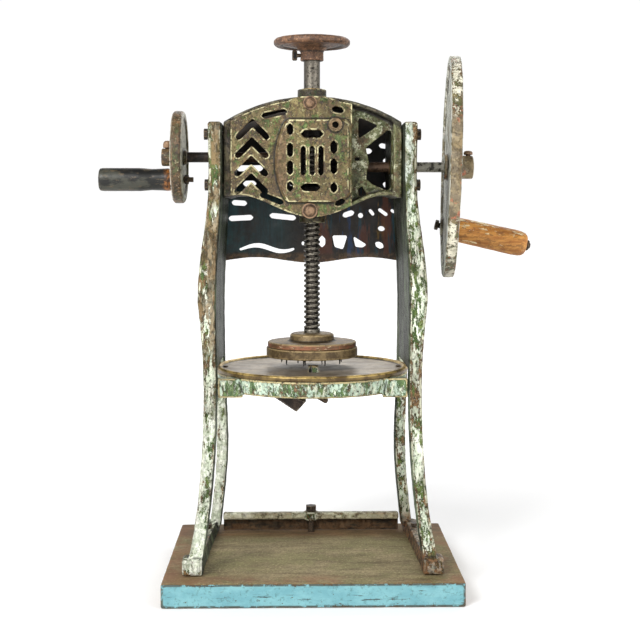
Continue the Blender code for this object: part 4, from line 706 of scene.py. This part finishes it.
def make_materials():
    """A material for each slot of the record."""
    ice_plate = (srgb(112, 98, 78), srgb(160, 146, 124), srgb(196, 176, 132))
    blade = (srgb(34, 27, 22), srgb(70, 56, 44), srgb(122, 112, 98))
    spindle_tones = (srgb(40, 36, 32), srgb(82, 75, 66), srgb(140, 134, 122))
    pressure = (srgb(82, 66, 42), srgb(128, 108, 74), srgb(158, 136, 96))
    shaft = (srgb(78, 58, 44), srgb(124, 96, 76), srgb(150, 124, 102))
    fastener = (srgb(22, 18, 14), srgb(58, 46, 34), srgb(92, 76, 58))
    gear = (srgb(26, 23, 20), srgb(52, 46, 40), srgb(96, 88, 76))
    bush = (srgb(70, 54, 32), srgb(118, 96, 60), srgb(150, 128, 84))
    return {
        "board_wood": board_material(),
        "frame_paint": frame_material(),
        "housing_paint": housing_material(),
        "back_plate_paint": back_plate_material(),
        "tray_paint": tray_material(),
        "ice_plate_bronze": bare_metal("ice_plate_bronze", ice_plate, 0.45, 0.40, scale=36.0, stretch=(0.6, 1, 1),
                                       zones=dish_zones),
        "blade_steel": bare_metal("blade_steel", blade, 0.5, 0.5),
        "spindle_steel": bare_metal("spindle_steel", spindle_tones, 0.75, 0.42, scale=130.0),
        "handwheel_rust": handwheel_material(),
        "pressure_bronze": bare_metal("pressure_bronze", pressure, 0.30, 0.55, scale=60.0, relief=0.0003,
                                      zones=bronze_zones),
        "crank_paint": crank_material(),
        "flywheel_paint": flywheel_material(),
        "black_grip": black_grip_material(),
        "grip_wood": wood_grip_material(),
        "shaft_steel": bare_metal("shaft_steel", shaft, 0.35, 0.5, scale=70.0, zones=shaft_zones),
        "fastener_steel": bare_metal("fastener_steel", fastener, 0.4, 0.55, scale=140.0, relief=0.0003,
                                     zones=fastener_zones),
        "gear_iron": bare_metal("gear_iron", gear, 0.6, 0.5),
        "bush_bronze": bare_metal("bush_bronze", bush, 0.6, 0.45),
    }


# ---------------------------------------------------------------- meshes

WELD_DISTANCE = 0.00001
EDGE_RADIUS = 0.004                          # an edge this round counts as fully worn


def evaluated(obj):
    graph = bpy.context.evaluated_depsgraph_get()
    return bpy.data.meshes.new_from_object(obj.evaluated_get(graph))


def read_mesh(mesh):
    """A mesh's points and edges."""
    points = np.empty(len(mesh.vertices) * 3)
    mesh.vertices.foreach_get("co", points)
    edges = np.empty(len(mesh.edges) * 2, dtype=np.int64)
    mesh.edges.foreach_get("vertices", edges)
    return points.reshape(-1, 3), edges.reshape(-1, 2)


def read_normals(mesh):
    normals = np.empty(len(mesh.vertices) * 3)
    mesh.vertices.foreach_get("normal", normals)
    return normals.reshape(-1, 3)


def write_points(mesh, points):
    mesh.vertices.foreach_set("co", points.ravel())
    mesh.update()


def spread(values, edges, weight):
    """Moves each vertex's value towards its neighbours' mean."""
    total, degree = np.zeros_like(values), np.zeros(len(values))
    for one, other in ((0, 1), (1, 0)):
        for column in range(values.shape[1]):
            total[:, column] += np.bincount(edges[:, one], values[edges[:, other], column], len(values))
        degree += np.bincount(edges[:, one], minlength=len(values))
    return values + weight * (total / np.maximum(degree, 1)[:, None] - values)


def mark_edges(mesh):
    """Stores how convex (wear) and how hollow each vertex is, from 0 to 1; convexity also places the painted edge
    highlight and hollowness the painted shade.
    """
    points, edges = read_mesh(mesh)
    normals = read_normals(mesh)
    step = points[edges[:, 1]] - points[edges[:, 0]]
    square = np.maximum((step ** 2).sum(1), 1e-12)
    bend = np.bincount(edges[:, 0], -2 * (normals[edges[:, 0]] * step).sum(1) / square, len(points))
    bend += np.bincount(edges[:, 1], 2 * (normals[edges[:, 1]] * step).sum(1) / square, len(points))
    degree = np.bincount(edges.ravel(), minlength=len(points))
    bend = (bend / np.maximum(degree, 1) * EDGE_RADIUS)[:, None]
    for _ in range(4):
        bend = spread(bend, edges, 0.5)
    for name, sign in (("wear", 1.0), ("hollow", -1.0)):
        layer = mesh.attributes.new(name, "FLOAT", "POINT")
        layer.data.foreach_set("value", np.clip(sign * bend[:, 0], 0.0, 1.0).astype(np.float32))


def round_off(points, corners, sides, centre, axis):
    """Turns the flats of a many-sided solid of revolution into true rounds."""
    centre, axis = np.array(centre), np.array(axis, dtype=float)
    axis /= np.linalg.norm(axis)
    helper = np.array((0.0, 0.0, 1.0)) if abs(axis[2]) < 0.9 else np.array((1.0, 0.0, 0.0))
    across = np.cross(axis, helper)
    across /= np.linalg.norm(across)
    up = np.cross(axis, across)

    def angle_of(cloud):
        return np.arctan2((cloud - centre) @ up, (cloud - centre) @ across)

    def along_axis(cloud):
        return np.outer((cloud - centre) @ axis, axis)

    farthest = np.argmax(np.linalg.norm((corners - centre) - along_axis(corners), axis=1))
    slice_angle = 2 * math.pi / sides
    within = np.mod(angle_of(points) - angle_of(corners)[farthest], slice_angle) - slice_angle / 2
    grow = np.cos(within) / math.cos(slice_angle / 2)
    along = along_axis(points)
    return centre + along + ((points - centre) - along) * grow[:, None]


def uneven(points, normals, depth, size):
    """Sinks the surface by up to the depth, in soft dents of the size and finer ones."""
    lift = np.array([noise.noise(Vector(point) / size) + 0.4 * noise.noise(Vector(point) / (size * 0.3))
                     for point in points])
    return points + normals * (depth * (np.clip(lift, -1, 1) - 1.0) * 0.5)[:, None]


def dress(piece, node):
    """Puts the node's material on a piece that stands for it, and rides it on the node's body."""
    mesh = piece.data
    mesh.materials.clear()
    mesh.materials.append(MATERIALS[SLOT_OF[node]])
    mesh.shade_smooth()
    mark_edges(mesh)
    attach(piece, BODY_OF[node])
    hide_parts(node)


def cast(node, voxel, relax=2, waves=0.0002, size=0.012, sides=0, centre=(0, 0, 0), axis=(0, 0, 1), thin=False):
    """A finer copy of a CAD solid: evenly meshed, its edges softened, its faces slightly uneven.

    relax is how often the points are smoothed, waves and size are the dents' depth and width, and sides, centre
    and axis say what solid of revolution is made round.
    """
    source = frame["nodes"][node].data
    corners, _ = read_mesh(source)
    piece = bpy.data.objects.new(f"{node}_surface", source.copy())
    bpy.context.scene.collection.objects.link(piece)
    weld = piece.modifiers.new("weld", "WELD")
    weld.merge_threshold = WELD_DISTANCE
    even = piece.modifiers.new("even", "REMESH")
    even.mode = "VOXEL"
    even.voxel_size = voxel * (2.0 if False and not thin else 1.0)
    even.adaptivity = 0.0
    mesh = evaluated(piece)
    piece.modifiers.clear()
    piece.data = mesh
    points, edges = read_mesh(mesh)
    if sides:
        points = round_off(points, corners, sides, (centre[0], centre[1], centre[2] + BASE), axis)
    for _ in range(relax):
        points = spread(points, edges, 0.5)
    if waves:
        write_points(mesh, points)
        points = uneven(points, read_normals(mesh), waves, size)
    write_points(mesh, points)
    dress(piece, node)


# ---------------------------------------------------------------- the spindle's thread

SPINDLE_RADIUS = 0.0125
PITCH = 0.008
THREAD_ROOT = 0.0099                         # radius at the bottom of the thread
THREAD_FROM, THREAD_TO = 0.376, 0.716        # heights
THREAD_RISE = 0.0005                         # height of one row of faces
KEYWAY_FROM, KEYWAY_TO = 0.3780, 0.7720
KEYWAY_HALF_WIDTH, KEYWAY_FLOOR = 0.0025, 0.0097
PLAIN_LEVELS = (0.7450, 0.7900)              # rows on the plain bar above the thread
CHAMFER = 0.0015


def thread_radius(z, angle, low, high):
    """The radius of a right-handed, nearly square thread that fades out at both ends."""
    turn = (z / PITCH - angle / (2 * math.pi)) % 1.0
    crest = abs(turn - 0.5) * 2.0
    share = min(1.0, max(0.0, (0.62 - crest) / 0.20))
    fade = min(1.0, max(0.0, (high - z) / 0.004)) * min(1.0, max(0.0, (z - low) / 0.003))
    return SPINDLE_RADIUS - (SPINDLE_RADIUS - THREAD_ROOT) * (1.0 - share) * fade


def spindle():
    """The spindle with its thread, its keyway at the rear and a chamfer on top."""
    low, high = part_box("spindle")
    start, top = THREAD_FROM + BASE, THREAD_TO + BASE
    steps = 64
    heights = [low.z, start - 0.002]
    heights += [start + i * THREAD_RISE for i in range(int((top - start) / THREAD_RISE) + 1)]
    heights += [level + BASE for level in PLAIN_LEVELS] + [high.z - CHAMFER, high.z]
    points, faces = [], []
    for level, z in enumerate(heights):
        for i in range(steps):
            angle = 2 * math.pi * i / steps
            radius = thread_radius(z, angle, start, top) if start <= z <= top else SPINDLE_RADIUS
            if level == len(heights) - 1:
                radius = SPINDLE_RADIUS - CHAMFER
            x, y = radius * math.cos(angle), radius * math.sin(angle)
            if abs(x) < KEYWAY_HALF_WIDTH and y > 0.0 and KEYWAY_FROM < z - BASE < KEYWAY_TO:
                y = min(y, KEYWAY_FLOOR)
            points.append((x, y, z))
    for level in range(len(heights) - 1):
        a, b = level * steps, (level + 1) * steps
        for i in range(steps):
            j = (i + 1) % steps
            faces.append((a + i, a + j, b + j, b + i))
    faces.append(tuple(reversed(range(steps))))
    faces.append(tuple((len(heights) - 1) * steps + i for i in range(steps)))
    mesh = bpy.data.meshes.new("spindle_thread")
    mesh.from_pydata(points, [], faces)
    piece = bpy.data.objects.new("spindle_thread", mesh)
    bpy.context.scene.collection.objects.link(piece)
    dress(piece, "spindle")
    mesh.set_sharp_from_angle(angle=math.radians(50.0))


# ---------------------------------------------------------------- all pieces

ALONG_X = (1, 0, 0)
FLYWHEEL_CENTRE, FLYWHEEL_AXIS = (0.215, 0.0, 0.627), (0.9965, -0.0784, -0.0279)
CRANK_CENTRE = (-0.205, 0.0, 0.642)
WOODEN_GRIP_CENTRE, WOODEN_GRIP_AXIS = (0.2350, 0.112, 0.5300), (0.974, -0.060, -0.220)
BLACK_GRIP_CENTRE = (-0.213, 0.012, 0.608)
FLYWHEEL_SHAFT_CENTRE, FEED_SHAFT_CENTRE = (0, 0, 0.627), (0, 0, 0.642)
HIDDEN_NODES = ("feed_shaft_bush", "flywheel_shaft_bush", "drive_gear", "feed_nut_gear", "drive_pinion",
                "feed_pinion")

make_camera()
make_studio()
MATERIALS = make_materials()

cast("base_board", 0.0019, relax=1, waves=0.0006, size=0.030)
for side in ("left", "right"):
    cast(f"{side}_side_frame", 0.0016, relax=1, waves=0.0008, size=0.014)
cast("gear_housing", 0.0016, waves=0.0005)
cast("front_cover", 0.0010, waves=0.0004, size=0.010)
cast("back_plate", 0.0012, waves=0.0005, size=0.020)
cast("rear_cross_bar", 0.0010, waves=0.0005)
cast("tray_ring", 0.0012, waves=0.0003, sides=40)
cast("ice_plate", 0.0012, waves=0.0001, size=0.020, sides=40)
cast("upper_pressure_plate", 0.0010, waves=0.0003, size=0.010, sides=40)
cast("spiked_pressure_plate", 0.0008, relax=1, size=0.010, sides=40, thin=True)
cast("handwheel", 0.0010, waves=0.0004, size=0.010, sides=32)
cast("flywheel", 0.0017, waves=0.0006, size=0.014, sides=48, centre=FLYWHEEL_CENTRE, axis=FLYWHEEL_AXIS)
cast("crank_disc", 0.0010, waves=0.0005, size=0.010, sides=36, centre=CRANK_CENTRE, axis=ALONG_X)
cast("wooden_grip", 0.0009, waves=0.0006, sides=24, centre=WOODEN_GRIP_CENTRE, axis=WOODEN_GRIP_AXIS)
cast("black_grip", 0.0009, waves=0.0003, sides=24, centre=BLACK_GRIP_CENTRE, axis=ALONG_X)
cast("flywheel_shaft", 0.0007, waves=0.0001, size=0.010, sides=24, centre=FLYWHEEL_SHAFT_CENTRE, axis=ALONG_X)
cast("feed_shaft", 0.0007, waves=0.0001, size=0.010, sides=24, centre=FEED_SHAFT_CENTRE, axis=ALONG_X)
for name in ("lower_spindle_bush", "upper_spindle_bush"):
    cast(name, 0.0006, relax=1, waves=0.0, sides=24)
for name in ("blade", "blade_holder"):
    cast(name, 0.0006, relax=1)
for name in sorted(SLOT_OF):
    if SLOT_OF[name] == "fastener_steel":
        cast(name, 0.0005, relax=1, size=0.005, thin=True)
spindle()
for name in HIDDEN_NODES:
    for material_slot in frame["nodes"][name].material_slots:
        material_slot.material = MATERIALS[SLOT_OF[name]]
